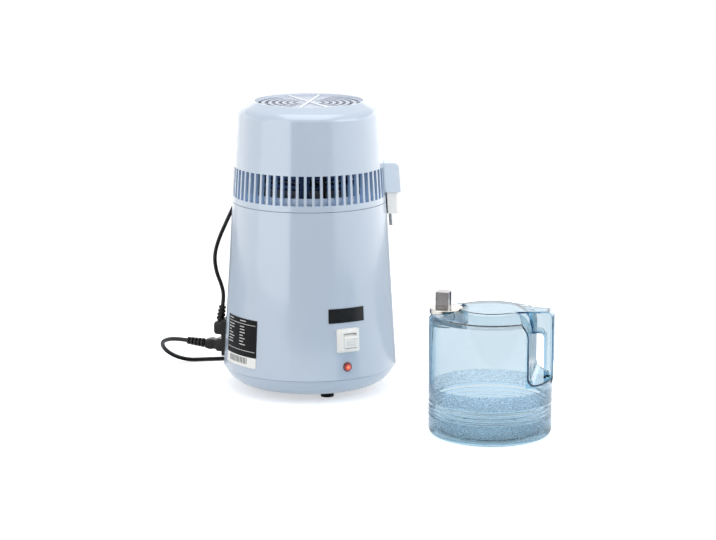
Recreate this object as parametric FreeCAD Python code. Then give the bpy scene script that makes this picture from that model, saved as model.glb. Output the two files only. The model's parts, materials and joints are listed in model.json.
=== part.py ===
import FreeCAD, Part
import math
import os

# Countertop water distiller with its collection jug. Millimetres, +Z up.
# The origin is on the housing's axis at table level, and the rocker switch faces -Y.
# Azimuths are degrees from -Y, growing towards +X.

V = FreeCAD.Vector
UP = V(0, 0, 1)
ORIGIN = V(0, 0, 0)

# ---- tapered wall shared by base and head
wall_taper = 0.0616
skin = 2.6
housing_air = 20.6   # between the tank and the wall's foot
parting_gap = 0.6
thread_clearance = 0.05

# ---- feet and bottom pan
foot_height = 10.0
foot_count = 3
foot_azimuth = -3.4
foot_inset = 25.0
foot_r = 9.4
foot_draft = 0.8
foot_screw_r = 1.6
foot_screw_length = 15.0
foot_screw_head_r = 3.6
foot_screw_head_h = 2.2
foot_bore_clearance = 1.0
foot_boss_wall = 3.4
foot_boss_height = 13.0
driver_slot = 1.0
driver_slot_depth = 0.9
pan_height = 24.0
pan_thick = 2.6
pan_flat_inset = 31.0
pan_bend_inset = 14.5
pan_bend_rise = 6.4
pan_knee_inset = 4.5
pan_knee_rise = 17.0
pan_groove = 1.2
pan_lip_height = 8.6
pan_lip_thick = 2.2
lip_clearance = 0.6

# ---- housing and boiler tank
housing_height = 219.0
tank_r = 91.0
tank_wall = 0.8
tank_depth = 156.0
tank_corner_r = 9.0
tank_seat_drop = 3.0
tank_flange_clearance = 1.5
ledge_thick = 3.5
ledge_clearance = 0.9

# ---- studs that draw the pan up to the tank
stud_count = 3
stud_azimuth = 52.0
stud_inset = 15.0
stud_r = 2.5
stud_tail = 1.6
stud_hole_clearance = 0.3
stud_boss_r = 9.0
stud_boss_height = 15.0
nut_recess_r = 6.5
nut_recess_depth = 6.0
nut_flats = 8.0
nut_height = 3.2
washer_r = 5.4
washer_thick = 1.0

# ---- heater
heater_inset = 27.0
heater_thick = 6.0
element_inset = 18.0
element_r = 3.2
element_sweep = 320.0
element_bend_r = 8.0
element_leg = 12.0
thermostat_r = 7.0
thermostat_height = 8.0
thermostat_flange_r = 8.5
thermostat_flange_thick = 1.5
thermostat_spacing = 36.0
tab_width = 6.3
tab_thick = 0.8
tab_length = 8.0

# ---- rocker switch
switch_rise = 52.0
rocker_width = 18.0
rocker_height = 14.8
rocker_reach = 11.5
rocker_skirt_r = 9.7
rocker_gap = 0.3
rocker_tilt = 10.0
rocker_edge_r = 0.8
rocker_groove_count = 5
rocker_groove_pitch = 2.4
rocker_groove_width = 0.9
rocker_groove_depth = 0.5
rocker_groove_margin = 2.2
pivot_depth = 1.0
pivot_r = 1.4
pivot_length = 1.6
pivot_clearance = 0.05
frame_wall = 3.75
frame_reach = 8.0
frame_corner_r = 2.4
bezel_border = 2.7
bezel_thick = 2.4
bezel_corner_r = 2.0
switch_body_wall = 2.75
switch_body_depth = 18.0
switch_floor = 6.5
window_clearance = 0.2

# ---- pilot lamp
lamp_rise = 17.0
lamp_azimuth = -0.9
lamp_stem_r = 5.0
lamp_stem_length = 12.0
lamp_flange_border = 1.1
lamp_flange_thick = 1.2
lamp_dome_height = 3.4
lamp_dome_edge_r = 1.8
lamp_nut_flats = 15.0
lamp_nut_thick = 3.0
lamp_body_r = 4.6
lamp_body_length = 14.0
lamp_tab_width = 2.8

# ---- nameplate and rating label
nameplate_width = 51.0
nameplate_height = 18.6
nameplate_rise = 84.6
label_azimuth = -81.0
label_width = 66.0
label_height = 63.0
label_rise = 42.8
plate_thick = 0.5
plate_gap = 0.2

# ---- three-pin sockets and the noses that fit them
socket_azimuth = -131.0
socket_proud = 4.0
nose_width = 23.8
nose_height = 15.8
nose_chamfer = 4.5
nose_clearance = 0.3
nose_short = 1.5
socket_depth = 17.0
socket_spacing = 22.8
socket_side_margin = 4.1
socket_end_margin = 13.6
socket_block_rise = 4.0
socket_flange_margin = 1.5
socket_floor = 6.0
socket_corner_r = 3.0
pin_spacing = 14.0
pin_width = 4.0
pin_thick = 2.0
pin_length = 13.0
pin_root = 3.0
pin_offset = 2.0
pin_slot_clearance = 0.25
socket_screw_r = 1.5
socket_screw_inset = 3.6
socket_screw_head_r = 2.6
socket_screw_head_h = 1.2
socket_screw_length = 8.0
socket_screw_room = 0.4
plug_gap = 0.3

# ---- head: dome, louvres, lid, tray
head_turn = -20.0
dome_side_height = 115.4
brow_mid_inset = 3.5
brow_mid_rise = 6.4
brow_inset = 8.4
brow_rise = 10.0
brow_top_width = 14.5
brow_lean = 60.0   # how far the brow's end leans over, in degrees
dome_crown_rise = 17.0
louvre_rise = 7.9
louvre_height = 38.5
slat_count = 60
slat_width = 3.4
slat_trim = 2.0   # closed wall kept beside the hood
slat_band_margin = 1.0
slat_depth = 6.0
patch_span = 14.0
gasket_gap = 0.3
gasket_height = 3.0
gasket_width = 6.0
lid_thick = 0.8
lid_border = 0.2
lid_crown_inset = 29.0
lid_crown_run = 8.0
lid_crown = 8.0
lid_screw_inset = 7.0
lid_screw_azimuth = 33.0
lid_screw_count = 3
lid_screw_r = 1.6
lid_screw_head_r = 3.2
lid_screw_head_h = 1.6
lid_screw_length = 14.0
post_r = 4.5
post_height = 26.0
post_web_thick = 3.0
post_web_height = 11.0
tray_thick = 2.6
tray_crown_gap = 4.0
tray_blind = 0.4
tray_clearance = 0.5
collar_gap = 1.5
collar_thick = 2.0
collar_height = 12.5

# ---- top grille
grille_recess = 3.0
grille_thick = 2.4
grille_seat_width = 3.0
grille_clearance = 0.3
grille_slot_count = 6
grille_slot_pitch = 9.0
grille_slot_width = 4.4
grille_slot_border = 6.5
grille_slot_half_angle = 58.0
grille_mid_rib = 3.0
grille_rib_angle = 17.0
grille_rib_width = 3.0
grille_rib_height = 1.4
rim_land = 1.0

# ---- condenser coil
coil_tube_r = 4.8
coil_post_gap = 0.7
coil_turns = 3
coil_pitch = 13.0
coil_rise = 24.5
coil_half_gap = 13.0
riser_inset = 10.0
riser_sink = 2.0
comb_azimuths = [8.0, 172.0, -60.0]
comb_thick = 3.0
comb_margin = 3.2
comb_foot = 12.0
comb_foot_thick = 2.0
comb_clearance = 0.05
outlet_drop = 2.0
outlet_run = 8.0
outlet_fall = 0.5
outlet_bore_clearance = 0.9
outlet_tube_r = 2.9
outlet_end_drop = 7.0

# ---- fan, motor and its bracket
fan_headroom = 3.6
bracket_thick = 2.0
bracket_disc_border = 3.0
bracket_arm_width = 12.0
bracket_arm_azimuth = -10.0
bracket_arm_count = 3
bracket_leg_gap = 4.0
bracket_foot_length = 12.0
bracket_screw_r = 1.5
bracket_screw_head_r = 2.8
bracket_screw_head_h = 1.6
bracket_screw_skin = 0.5
motor_r = 30.0
motor_height = 28.0
motor_edge_r = 2.0
motor_cap_r = 12.0
motor_cap_height = 3.0
motor_screw_r = 1.6
motor_screw_head_r = 3.2
motor_screw_head_h = 2.0
motor_screw_ring_r = 22.0
motor_screw_azimuth = 50.0
motor_screw_grip = 6.0
shaft_r = 3.0
shaft_clearance = 0.05
shaft_tip = 1.0
rotor_border = 9.5
rotor_hub_r = 14.0
rotor_hub_height = 15.0
rotor_gap = 2.0
rotor_blade_count = 6
rotor_blade_chord = 28.0
rotor_blade_angle = 26.0
rotor_blade_thick = 1.6
rotor_nut_flats = 9.0
rotor_nut_height = 4.0

# ---- spout: hood, filter cup, drip tube
hood_half_width = 18.0
hood_skin = 1.9
hood_over_louvres = 3.0
hood_into_louvres = 2.5
hood_lip_gap = 0.8
hood_lean = 2.7
hood_round_r = 7.0
cup_side_gap = 0.4
cup_depth = 15.6
cup_hidden = 9.0
cup_shown = 29.5
cup_skin = 1.8
cup_wall_gap = 0.5
cup_corner_r = 5.0
cup_floor_r = 2.0
drip_r = 2.6
drip_wall = 0.5
drip_length = 17.5
drip_offset = 2.6   # from the cup's middle towards the wall
drip_seat = 0.5
pod_clearance = 0.4
pod_rise = 1.5
pod_height = 22.0

# ---- fan lead
gland_azimuth = -155.0
gland_rise = 10.5
gland_flange_r = 6.4
gland_flange_thick = 1.4
gland_r = 5.2
gland_tip_r = 3.6
gland_relief_length = 9.0
gland_stem_r = 4.0
gland_stem_past = 1.5
fan_cord_r = 2.6
fan_plug_thick = 12.0
fan_plug_half_width = 12.0
fan_plug_below = 8.3
fan_plug_above = 9.7
fan_plug_edge_r = 2.5
fan_relief_r = 5.0
fan_relief_tip_r = 3.4
fan_relief_length = 21.0
fan_cord_route = [
    (-48.6, 98.8, 259.1),
    (-55.2, 103.7, 246.5),
    (-66.5, 102.0, 229.5),
    (-79.0, 96.0, 212.0),
    (-91.0, 91.0, 194.0),
    (-99.5, 87.5, 173.0),
    (-98.0, 85.5, 151.0),
    (-92.0, 80.5, 132.0),
    (-90.0, 78.2, 117.0),
    (-91.6, 79.6, 104.0),
]

# ---- mains lead
mains_cord_r = 2.9
connector_length = 26.0
connector_width = 24.0
connector_height = 17.0
connector_tail_width = 17.0
connector_tail_height = 13.0
relief_length = 28.0
relief_r = 5.6
relief_tip_r = 3.9
mains_cord_route = [
    (-126.5, 117.7, 52.2),
    (-137.3, 132.1, 52.8),
    (-144.0, 152.0, 48.3),
    (-142.5, 172.0, 39.5),
    (-131.5, 190.0, 25.5),
    (-112.0, 201.5, 11.5),
    (-90.0, 203.0, 2.95),
    (-66.0, 196.0, 2.95),
    (-42.0, 187.5, 2.95),
    (-15.0, 182.8, 2.95),
    (16.0, 184.0, 2.95),
    (45.5, 184.0, 2.95),
]
lead_coil_layers = 2
lead_coil_columns = 3
lead_coil_mean_r = 32.0
lead_coil_stub = 22.0
lead_coil_gap = 0.05
tie_azimuth = 200.0
tie_width = 6.0
tie_thick = 0.8
tie_clearance = 0.3
tail_route = [
    (89.5, 184.0, 8.75),
    (105.2, 184.0, 8.75),
    (126.5, 188.2, 18.0),
    (140.7, 191.0, 18.0),
]
plug_face_r = 18.0
plug_body_length = 20.0
plug_edge_r = 2.5
plug_grip_length = 24.0
plug_grip_r = 10.0
plug_neck_r = 8.0
plug_relief_length = 18.0
plug_pin_r = 2.4
plug_pin_length = 19.0
plug_pin_seat = 8.0
plug_pin_spacing = 19.0
plug_pin_edge_r = 1.2

# ---- jug
jug_x = 95.0
jug_y = -316.0
jug_turn = -36.0
jug_r = 76.8
jug_wall = 2.6
jug_base_r = 68.0
jug_base_rise = 3.0
jug_foot_ring = 8.0
jug_base_corner = 8.0
jug_shoulder_z = 146.0
jug_shoulder_run = 7.0
jug_shoulder_rise = 5.5
jug_crown_rise = 7.9
jug_crown_r = 39.5
jug_crown_step = 2.4
jug_crown_step_run = 3.5
jug_rib_heights = [27.7, 32.7, 37.9, 44.6]
jug_rib_depth = 1.2
jug_rib_half = 1.7
neck_r = 19.0
neck_bore_r = 16.0
neck_inset = 3.3
neck_rise = 7.6
neck_root = 4.0
neck_notch_border = 4.5
neck_notch_depth = 14.0
pocket_wall_x = 52.5
pocket_bottom_z = 74.0
pocket_height = 57.0
pocket_round_r = 9.0
finger_gap = 14.5
grip_proud = 1.6
grip_half_width = 11.0
grip_round_r = 4.0
grip_overlap = 8.0
grip_top_drop = 0.8
grip_top_round_r = 10.0
grip_inner_round_r = 6.0
fin_root_x = 20.0
fin_root_half_width = 22.0
grip_foot_rise = 6.0

# ---- jug cap
cap_side_wall = 2.65
cap_clearance = 0.35
cap_skirt = 3.0
cap_thick = 1.6
cap_edge_r = 0.8
cap_seal_gap = 0.3
cap_seal_thick = 1.5
cap_seal_overhang = 2.0
knob_size = 16.4
knob_height = 21.0
knob_turn = -9.0
knob_offset = 4.8
knob_edge_r = 0.6
knob_frame = 1.8
knob_recess = 0.7
knob_screw_r = 2.0
knob_screw_grip = 9.9
knob_screw_head_r = 4.0
knob_screw_head_h = 2.2

grow = 1.0   # how far a cutting solid runs past the face it cuts

# ---- levels and radii that follow from the sizes above
wall_foot_r = tank_r + tank_wall + housing_air + skin
wall_foot_z = foot_height + pan_height
pan_flat_r = wall_foot_r - pan_flat_inset
pan_bend_r = wall_foot_r - pan_bend_inset
pan_knee_r = wall_foot_r - pan_knee_inset
foot_ring_r = pan_flat_r - foot_inset
stud_ring_r = tank_r - stud_inset
heater_r = tank_r - heater_inset
element_ring_r = heater_r - element_inset
housing_top_z = wall_foot_z + housing_height
tank_seat_z = housing_top_z - tank_seat_drop
tank_floor_z = tank_seat_z - tank_depth
heater_z = tank_floor_z - heater_thick
switch_z = wall_foot_z + switch_rise
lamp_z = wall_foot_z + lamp_rise
frame_size = rocker_width + 2 * frame_wall
bezel_size = frame_size + 2 * bezel_border
switch_body_size = rocker_width + 2 * switch_body_wall
lamp_flange_r = lamp_stem_r + lamp_flange_border
socket_face_r = wall_foot_r + socket_proud
socket_half_width = nose_width / 2 + socket_side_margin
socket_bottom_z = wall_foot_z + socket_block_rise
mains_socket_z = socket_bottom_z + socket_end_margin
fan_socket_z = mains_socket_z + socket_spacing
socket_top_z = fan_socket_z + socket_end_margin
socket_block_depth = socket_depth + socket_floor
head_z = housing_top_z + parting_gap
dome_side_z = head_z + dome_side_height
dome_top_z = dome_side_z + dome_crown_rise
dome_side_r = wall_foot_r - wall_taper * (dome_side_z - wall_foot_z)
grille_rim_r = dome_side_r - brow_inset - brow_top_width
louvre_bottom_z = head_z + louvre_rise
louvre_top_z = louvre_bottom_z + louvre_height
grille_seat_z = dome_top_z - grille_recess
grille_under_z = grille_seat_z - grille_thick
gasket_z = tank_seat_z + tank_wall + gasket_gap
lid_z = gasket_z + gasket_height
lid_crown_r = tank_r - lid_crown_inset
tray_z = lid_z + lid_thick
tray_top_z = tray_z + tray_thick
tray_inner_r = lid_crown_r + tray_crown_gap
lid_screw_ring_r = tank_r - lid_screw_inset
collar_r = lid_screw_ring_r + post_r + collar_gap + collar_thick
coil_ring_r = lid_screw_ring_r - post_r - coil_post_gap - coil_tube_r
coil_z = tray_top_z + coil_rise
coil_top_z = coil_z + (coil_turns - 1) * coil_pitch
riser_r = lid_crown_r - riser_inset
hood_top_z = louvre_top_z + hood_over_louvres
hood_bottom_z = louvre_bottom_z + hood_into_louvres
cup_top_z = hood_bottom_z + cup_hidden
cup_bottom_z = hood_bottom_z - cup_shown
cup_half_width = hood_half_width - hood_skin - cup_side_gap
shaft_top_z = grille_under_z - fan_headroom
rotor_nut_z = shaft_top_z - shaft_tip - rotor_nut_height
rotor_z = rotor_nut_z - rotor_hub_height
motor_top_z = rotor_z - rotor_gap - motor_cap_height
motor_z = motor_top_z - motor_height
bracket_z = motor_z - bracket_thick
bracket_leg_r = collar_r - collar_thick - bracket_leg_gap
bracket_disc_r = motor_r + bracket_disc_border
rotor_r = grille_rim_r - rotor_border
gland_z = louvre_bottom_z + gland_rise
jug_shoulder_r = jug_r - jug_shoulder_run
jug_shoulder_top_z = jug_shoulder_z + jug_shoulder_rise
jug_crown_z = jug_shoulder_top_z + jug_crown_rise
neck_x = -(jug_r - neck_r - neck_inset)
neck_top_z = jug_shoulder_z + neck_rise
neck_notch_z = neck_top_z - neck_notch_depth
grip_inner_x = pocket_wall_x + finger_gap
grip_outer_x = jug_r + grip_proud
cap_r = neck_r + cap_clearance + cap_side_wall
cap_under_z = neck_top_z + cap_seal_gap + cap_seal_thick
cap_top_z = cap_under_z + cap_thick
cap_bottom_z = neck_top_z - cap_skirt
grip_bottom_z = pocket_bottom_z - grip_overlap
grip_top_z = jug_crown_z - grip_top_drop
pocket_top_z = pocket_bottom_z + pocket_height


# ---- helpers
def wall_r(z):
    return wall_foot_r - wall_taper * (z - wall_foot_z)


def wall_cone(z0, z1, inset=0.0):
    return Part.makeCone(wall_r(z0) - inset, wall_r(z1) - inset, z1 - z0, V(0, 0, z0))


def disc(r, z0, z1, x=0.0, y=0.0):
    return Part.makeCylinder(r, z1 - z0, V(x, y, z0))


def tube(outer_r, inner_r, z0, z1):
    return disc(outer_r, z0, z1).cut(disc(inner_r, z0 - grow, z1 + grow))


def block(x0, x1, y0, y1, z0, z1):
    return Part.makeBox(x1 - x0, y1 - y0, z1 - z0, V(x0, y0, z0))


def rod(a, b, r):
    return Part.makeCylinder(r, (b - a).Length, a, b - a)


def rod_y(r, y0, y1, x=0.0, z=0.0):
    return Part.makeCylinder(r, y1 - y0, V(x, y0, z), V(0, 1, 0))


def outline(points):
    """Closed section in the XZ plane. A bare point ends a line; a pair holds an arc's middle and end."""
    edges = []
    here = V(points[0][0], 0, points[0][1])
    for step in points[1:] + points[:1]:
        if isinstance(step[0], tuple):
            middle = V(step[0][0], 0, step[0][1])
            end = V(step[1][0], 0, step[1][1])
            edges.append(Part.Arc(here, middle, end).toShape())
        else:
            end = V(step[0], 0, step[1])
            edges.append(Part.LineSegment(here, end).toShape())
        here = end
    return Part.Face(Part.Wire(edges))


def revolve(points):
    return outline(points).revolve(ORIGIN, UP, 360)


def turned(shape, azimuth):
    copy = shape.copy()
    copy.rotate(ORIGIN, UP, azimuth)
    return copy


def moved(shape, x, y, z):
    copy = shape.copy()
    copy.translate(V(x, y, z))
    return copy


def on_wall(shape, azimuth, z):
    """Takes a shape drawn with x along the wall, -y outwards and z up the slope to its place on the wall."""
    copy = shape.copy()
    copy.rotate(ORIGIN, V(1, 0, 0), -math.degrees(math.atan(wall_taper)))
    copy.translate(V(0, -wall_r(z), z))
    return turned(copy, azimuth)


def on_ring(shape, ring_r, azimuth, count):
    """Copies of a shape drawn on the axis, spread evenly round a ring."""
    return [turned(moved(shape, 0, -ring_r, 0), azimuth + k * 360.0 / count) for k in range(count)]


def ring_point(azimuth, z, r):
    a = math.radians(azimuth)
    return V(r * math.sin(a), -r * math.cos(a), z)


def edges_along(shape, axis):
    return [e for e in shape.Edges if abs(e.tangentAt(e.FirstParameter).dot(axis)) > 0.9]


def circles(shape):
    return [e for e in shape.Edges if isinstance(e.Curve, Part.Circle)]


def rounded_slab(width, height, y0, y1, r):
    """A slab standing across Y with rounded corners, centred on x = z = 0."""
    slab = block(-width / 2, width / 2, y0, y1, -height / 2, height / 2)
    return slab.makeFillet(r, edges_along(slab, V(0, 1, 0)))


def hexagon(flats, z0, z1):
    corners = []
    for k in range(6):
        corners.append(ring_point(60 * k, z0, flats / math.sqrt(3)))
    return Part.Face(Part.makePolygon(corners + corners[:1])).extrude(V(0, 0, z1 - z0))


def fused(shapes):
    return shapes[0].fuse(shapes[1:]).removeSplitter()


def screw(head_r, head_h, shank_r, shank_length, z, slot=driver_slot):
    """A screw pointing up, with its head's upper face at z and a driver's slot from below."""
    body = fused([disc(head_r, z - head_h, z), disc(shank_r, z, z + shank_length)])
    return body.cut(block(-head_r, head_r, -slot / 2, slot / 2, z - head_h - grow,
                          z - head_h + driver_slot_depth))


def run_end(route):
    """The last point of a route and the direction of its last run."""
    last = V(*route[-1])
    return last, (last - V(*route[-2])).normalize()


def tangent_arc(before, corner, after, radius):
    """The arc that rounds one corner of a route, as its start, middle and end."""
    inward = (before - corner).normalize()
    outward = (after - corner).normalize()
    half_turn = (math.pi - inward.getAngle(outward)) / 2
    back = radius * math.tan(half_turn)
    bisector = (inward + outward).normalize()
    middle = corner + bisector * (radius / math.cos(half_turn) - radius)
    return corner + inward * back, middle, corner + outward * back


def cord_tube(name, route, r):
    """A round tube along straight runs joined by tangent arcs, as wide as the runs allow."""
    points = [V(*p) for p in route]
    radii = []
    edges = []
    here = points[0]
    for before, corner, after in zip(points, points[1:], points[2:]):
        half_turn = (math.pi - (before - corner).getAngle(after - corner)) / 2
        shorter = min((before - corner).Length, (after - corner).Length)
        radii.append(0.45 * shorter / math.tan(half_turn))
        start, middle, end = tangent_arc(before, corner, after, radii[-1])
        edges.append(Part.LineSegment(here, start).toShape())
        edges.append(Part.Arc(start, middle, end).toShape())
        here = end
    edges.append(Part.LineSegment(here, points[-1]).toShape())
    path = Part.Wire(edges)
    section = Part.Wire([Part.Circle(points[0], points[1] - points[0], r).toShape()])
    solid = path.makePipeShell([section], True, False)
    ratio = solid.Volume / (math.pi * r * r * path.Length)
    print(name, "length", round(path.Length, 1), "volume ratio", round(ratio, 4), "radii",
          [round(x) for x in radii])
    return solid


# ---- base: housing, pan, feet
def socket_window(clearance):
    """Half width, bottom and top of the part of the socket block that passes through the wall."""
    border = socket_flange_margin - clearance
    return socket_half_width - border, socket_bottom_z + border, socket_top_z - border


def outer_housing():
    inside = wall_cone(wall_foot_z - grow, housing_top_z + grow, skin)
    wall = wall_cone(wall_foot_z, housing_top_z).cut(inside)
    ledge_z = tank_seat_z - ledge_thick
    ledge = wall_cone(ledge_z, tank_seat_z, skin / 2)
    ledge = ledge.cut(disc(tank_r + tank_wall + ledge_clearance, ledge_z - grow, tank_seat_z + grow))
    half = switch_body_size / 2 + window_clearance
    switch_window = on_wall(block(-half, half, -2 * skin, 3 * skin, -half, half), 0, switch_z)
    lamp_hole = on_wall(rod_y(lamp_stem_r + window_clearance, -3 * skin, 3 * skin), lamp_azimuth, lamp_z)
    half, z0, z1 = socket_window(window_clearance)
    window = block(-half, half, -wall_foot_r - skin, -wall_foot_r + 4 * skin, z0, z1)
    return fused([wall, ledge]).cut([switch_window, lamp_hole, turned(window, socket_azimuth)])


def pan_shell():
    low = foot_height
    floor = foot_height + pan_thick
    knee_z = low + pan_knee_rise
    rim_z = wall_foot_z - parting_gap
    lip_r = wall_r(wall_foot_z + pan_lip_height) - skin - lip_clearance
    inner_lip_r = lip_r - pan_lip_thick
    bend_in = pan_thick / 2
    bend_up = pan_thick * math.sqrt(3) / 2
    return revolve([
        (0, low), (pan_flat_r, low), ((pan_bend_r, low + pan_bend_rise), (pan_knee_r, knee_z)),
        (wall_foot_r - pan_groove, rim_z), (lip_r, rim_z), (lip_r, rim_z + pan_lip_height),
        (inner_lip_r, rim_z + pan_lip_height), (inner_lip_r, knee_z + pan_thick),
        (pan_knee_r - pan_thick, knee_z + bend_in / 2),
        ((pan_bend_r - bend_in, low + pan_bend_rise + bend_up), (pan_flat_r - bend_in / 2, floor)),
        (0, floor)])


def bottom_pan():
    stud_boss = disc(stud_boss_r, foot_height, foot_height + stud_boss_height)
    foot_boss_r = foot_screw_r + foot_boss_wall
    foot_boss = disc(foot_boss_r, foot_height, foot_height + foot_boss_height)
    shell = fused([pan_shell()] + on_ring(stud_boss, stud_ring_r, stud_azimuth, stud_count)
                  + on_ring(foot_boss, foot_ring_r, foot_azimuth, foot_count))
    recess = disc(nut_recess_r, foot_height - grow, foot_height + nut_recess_depth)
    stud_hole = disc(stud_r + stud_hole_clearance, foot_height, foot_height + stud_boss_height + grow)
    screw_top = foot_height / 2 + foot_screw_length
    screw_hole = disc(foot_screw_r + thread_clearance, foot_height - grow, screw_top + thread_clearance)
    half, z0, z1 = socket_window(lip_clearance)
    notch = block(-half, half, -wall_foot_r, -wall_foot_r + socket_block_depth, z0, z1)
    cuts = [turned(notch, socket_azimuth)]
    cuts += on_ring(recess, stud_ring_r, stud_azimuth, stud_count)
    cuts += on_ring(stud_hole, stud_ring_r, stud_azimuth, stud_count)
    cuts += on_ring(screw_hole, foot_ring_r, foot_azimuth, foot_count)
    return shell.cut(cuts)


def feet():
    foot = Part.makeCone(foot_r - foot_draft, foot_r, foot_height)
    head_room = disc(foot_screw_head_r + foot_bore_clearance, -grow, foot_height / 2)
    hole = disc(foot_screw_r + thread_clearance, -grow, foot_height + grow)
    return Part.makeCompound(on_ring(foot.cut([head_room, hole]), foot_ring_r, foot_azimuth, foot_count))


def foot_screws():
    one = screw(foot_screw_head_r, foot_screw_head_h, foot_screw_r, foot_screw_length, foot_height / 2)
    return Part.makeCompound(on_ring(one, foot_ring_r, foot_azimuth, foot_count))


# ---- base: tank, studs, heater
def boiler_tank():
    outer_r = tank_r + tank_wall
    rim_z = tank_seat_z + tank_wall
    floor_z = tank_floor_z + tank_wall
    corner = tank_corner_r
    inner = corner - tank_wall
    share = 1 - math.sqrt(0.5)
    return revolve([
        (0, tank_floor_z), (outer_r - corner, tank_floor_z),
        ((outer_r - corner * share, tank_floor_z + corner * share), (outer_r, tank_floor_z + corner)),
        (outer_r, tank_seat_z), (tank_flange_r(), tank_seat_z), (tank_flange_r(), rim_z), (tank_r, rim_z),
        (tank_r, floor_z + inner),
        ((tank_r - inner * share, floor_z + inner * share), (tank_r - inner, floor_z)), (0, floor_z)])


def tank_flange_r():
    return wall_r(tank_seat_z) - skin - tank_flange_clearance


def tank_studs():
    stud = disc(stud_r, foot_height + stud_tail, tank_floor_z)
    return Part.makeCompound(on_ring(stud, stud_ring_r, stud_azimuth, stud_count))


def stud_nuts():
    seat = foot_height + nut_recess_depth
    washer_z = seat - washer_thick
    nut = fused([disc(washer_r, washer_z, seat), hexagon(nut_flats, washer_z - nut_height, washer_z)])
    nut = nut.cut(disc(stud_r + thread_clearance, foot_height - grow, seat + grow))
    return Part.makeCompound(on_ring(nut, stud_ring_r, stud_azimuth, stud_count))


def element_solid(r):
    """A ring in the plate's groove whose two ends bend down into legs."""
    half = math.radians(element_sweep / 2)
    share = math.sqrt(0.5)
    ends = []
    for side in (-1, 1):
        spot = V(element_ring_r * math.cos(half), side * element_ring_r * math.sin(half), heater_z)
        along = V(-math.sin(half), side * math.cos(half), 0) * element_bend_r
        down = V(0, 0, -element_bend_r)
        ends.append((spot, spot + along * share + down * (1 - share), spot + along + down))
    leg = V(0, 0, -element_leg)
    first, last = ends
    edges = [Part.LineSegment(first[2] + leg, first[2]).toShape(),
             Part.Arc(first[2], first[1], first[0]).toShape(),
             Part.Arc(first[0], V(element_ring_r, 0, heater_z), last[0]).toShape(),
             Part.Arc(last[0], last[1], last[2]).toShape(),
             Part.LineSegment(last[2], last[2] + leg).toShape()]
    section = Part.Wire([Part.Circle(first[2] + leg, UP, r).toShape()])
    return Part.Wire(edges).makePipeShell([section], True, False)


def heater_plate():
    return disc(heater_r, heater_z, tank_floor_z).cut(element_solid(element_r + thread_clearance))


def tab_pair(depth, spread, length=tab_length):
    """Two spade terminals that stick out along +y from depth, spread apart in z."""
    tabs = []
    for z in (-spread / 2, spread / 2):
        tabs.append(block(-tab_width / 2, tab_width / 2, depth - grow, depth + length, z - tab_thick / 2,
                          z + tab_thick / 2))
    return tabs


def thermostats():
    can = rod_y(thermostat_r, 0, thermostat_height)
    flange = rod_y(thermostat_flange_r, 0, thermostat_flange_thick)
    one = fused([can, flange] + tab_pair(thermostat_height, thermostat_r))
    one.rotate(ORIGIN, V(1, 0, 0), -90)
    half = thermostat_spacing / 2
    return Part.makeCompound([moved(one, -half, 0, heater_z), moved(one, half, 0, heater_z)])


# ---- base: switch, lamp, plates
def switch_mouth_half():
    tilt = math.radians(rocker_tilt)
    corner = rocker_height / 2 * math.cos(tilt) + rocker_reach * math.sin(tilt)
    return max(rocker_skirt_r, corner) + rocker_gap


def rocker():
    """Drawn flat about its pivot with -y outwards, then tilted to its rest position."""
    half_width = rocker_width / 2
    half = rocker_height / 2
    cap = block(-half_width, half_width, -rocker_reach, -rocker_skirt_r / 2, -half, half)
    cap = cap.makeFillet(rocker_edge_r, [e for e in cap.Edges if e.BoundBox.YMax < grow - rocker_reach])
    skirt = Part.makeCylinder(rocker_skirt_r, rocker_width, V(-half_width, 0, 0), V(1, 0, 0))
    outer_half = block(-rocker_width, rocker_width, -rocker_reach, -2 * pivot_r, -rocker_reach, rocker_reach)
    web = block(-half_width + frame_wall, half_width - frame_wall, -3 * pivot_r, 2 * pivot_r,
                -2 * pivot_r, 2 * pivot_r)
    pin_half = half_width + rocker_gap + pivot_length
    pin = Part.makeCylinder(pivot_r, 2 * pin_half, V(-pin_half, 0, 0), V(1, 0, 0))
    whole = fused([cap, skirt.common(outer_half), web, pin])
    groove_half = half_width - rocker_groove_margin
    grooves = []
    for k in range(rocker_groove_count):
        z = (k - (rocker_groove_count - 1) / 2) * rocker_groove_pitch
        grooves.append(block(-groove_half, groove_half, -rocker_reach - grow,
                             -rocker_reach + rocker_groove_depth,
                             z - rocker_groove_width / 2, z + rocker_groove_width / 2))
    whole = whole.cut(grooves)
    whole.rotate(ORIGIN, V(1, 0, 0), rocker_tilt)
    return on_wall(moved(whole, 0, pivot_depth, 0), 0, switch_z)


def switch_frame():
    bezel = rounded_slab(bezel_size, bezel_size, -bezel_thick, 2 * skin, bezel_corner_r)
    raised = rounded_slab(frame_size, frame_size, -frame_reach, 0, frame_corner_r)
    front = on_wall(fused([bezel, raised]), 0, switch_z).cut(wall_cone(wall_foot_z, housing_top_z))
    body = rounded_slab(switch_body_size, switch_body_size, -bezel_thick, switch_body_depth,
                        frame_corner_r / 2)
    rear = on_wall(fused([body] + tab_pair(switch_body_depth, switch_body_size / 2)), 0, switch_z)
    half = rocker_width / 2 + rocker_gap
    mouth = switch_mouth_half()
    cavity = block(-half, half, -frame_reach - grow, switch_body_depth - switch_floor, -mouth, mouth)
    pin_half = half + pivot_length + pivot_clearance
    pin_hole = Part.makeCylinder(pivot_r + pivot_clearance, 2 * pin_half, V(-pin_half, pivot_depth, 0),
                                 V(1, 0, 0))
    return fused([front, rear]).cut([on_wall(cavity, 0, switch_z), on_wall(pin_hole, 0, switch_z)])


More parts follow.
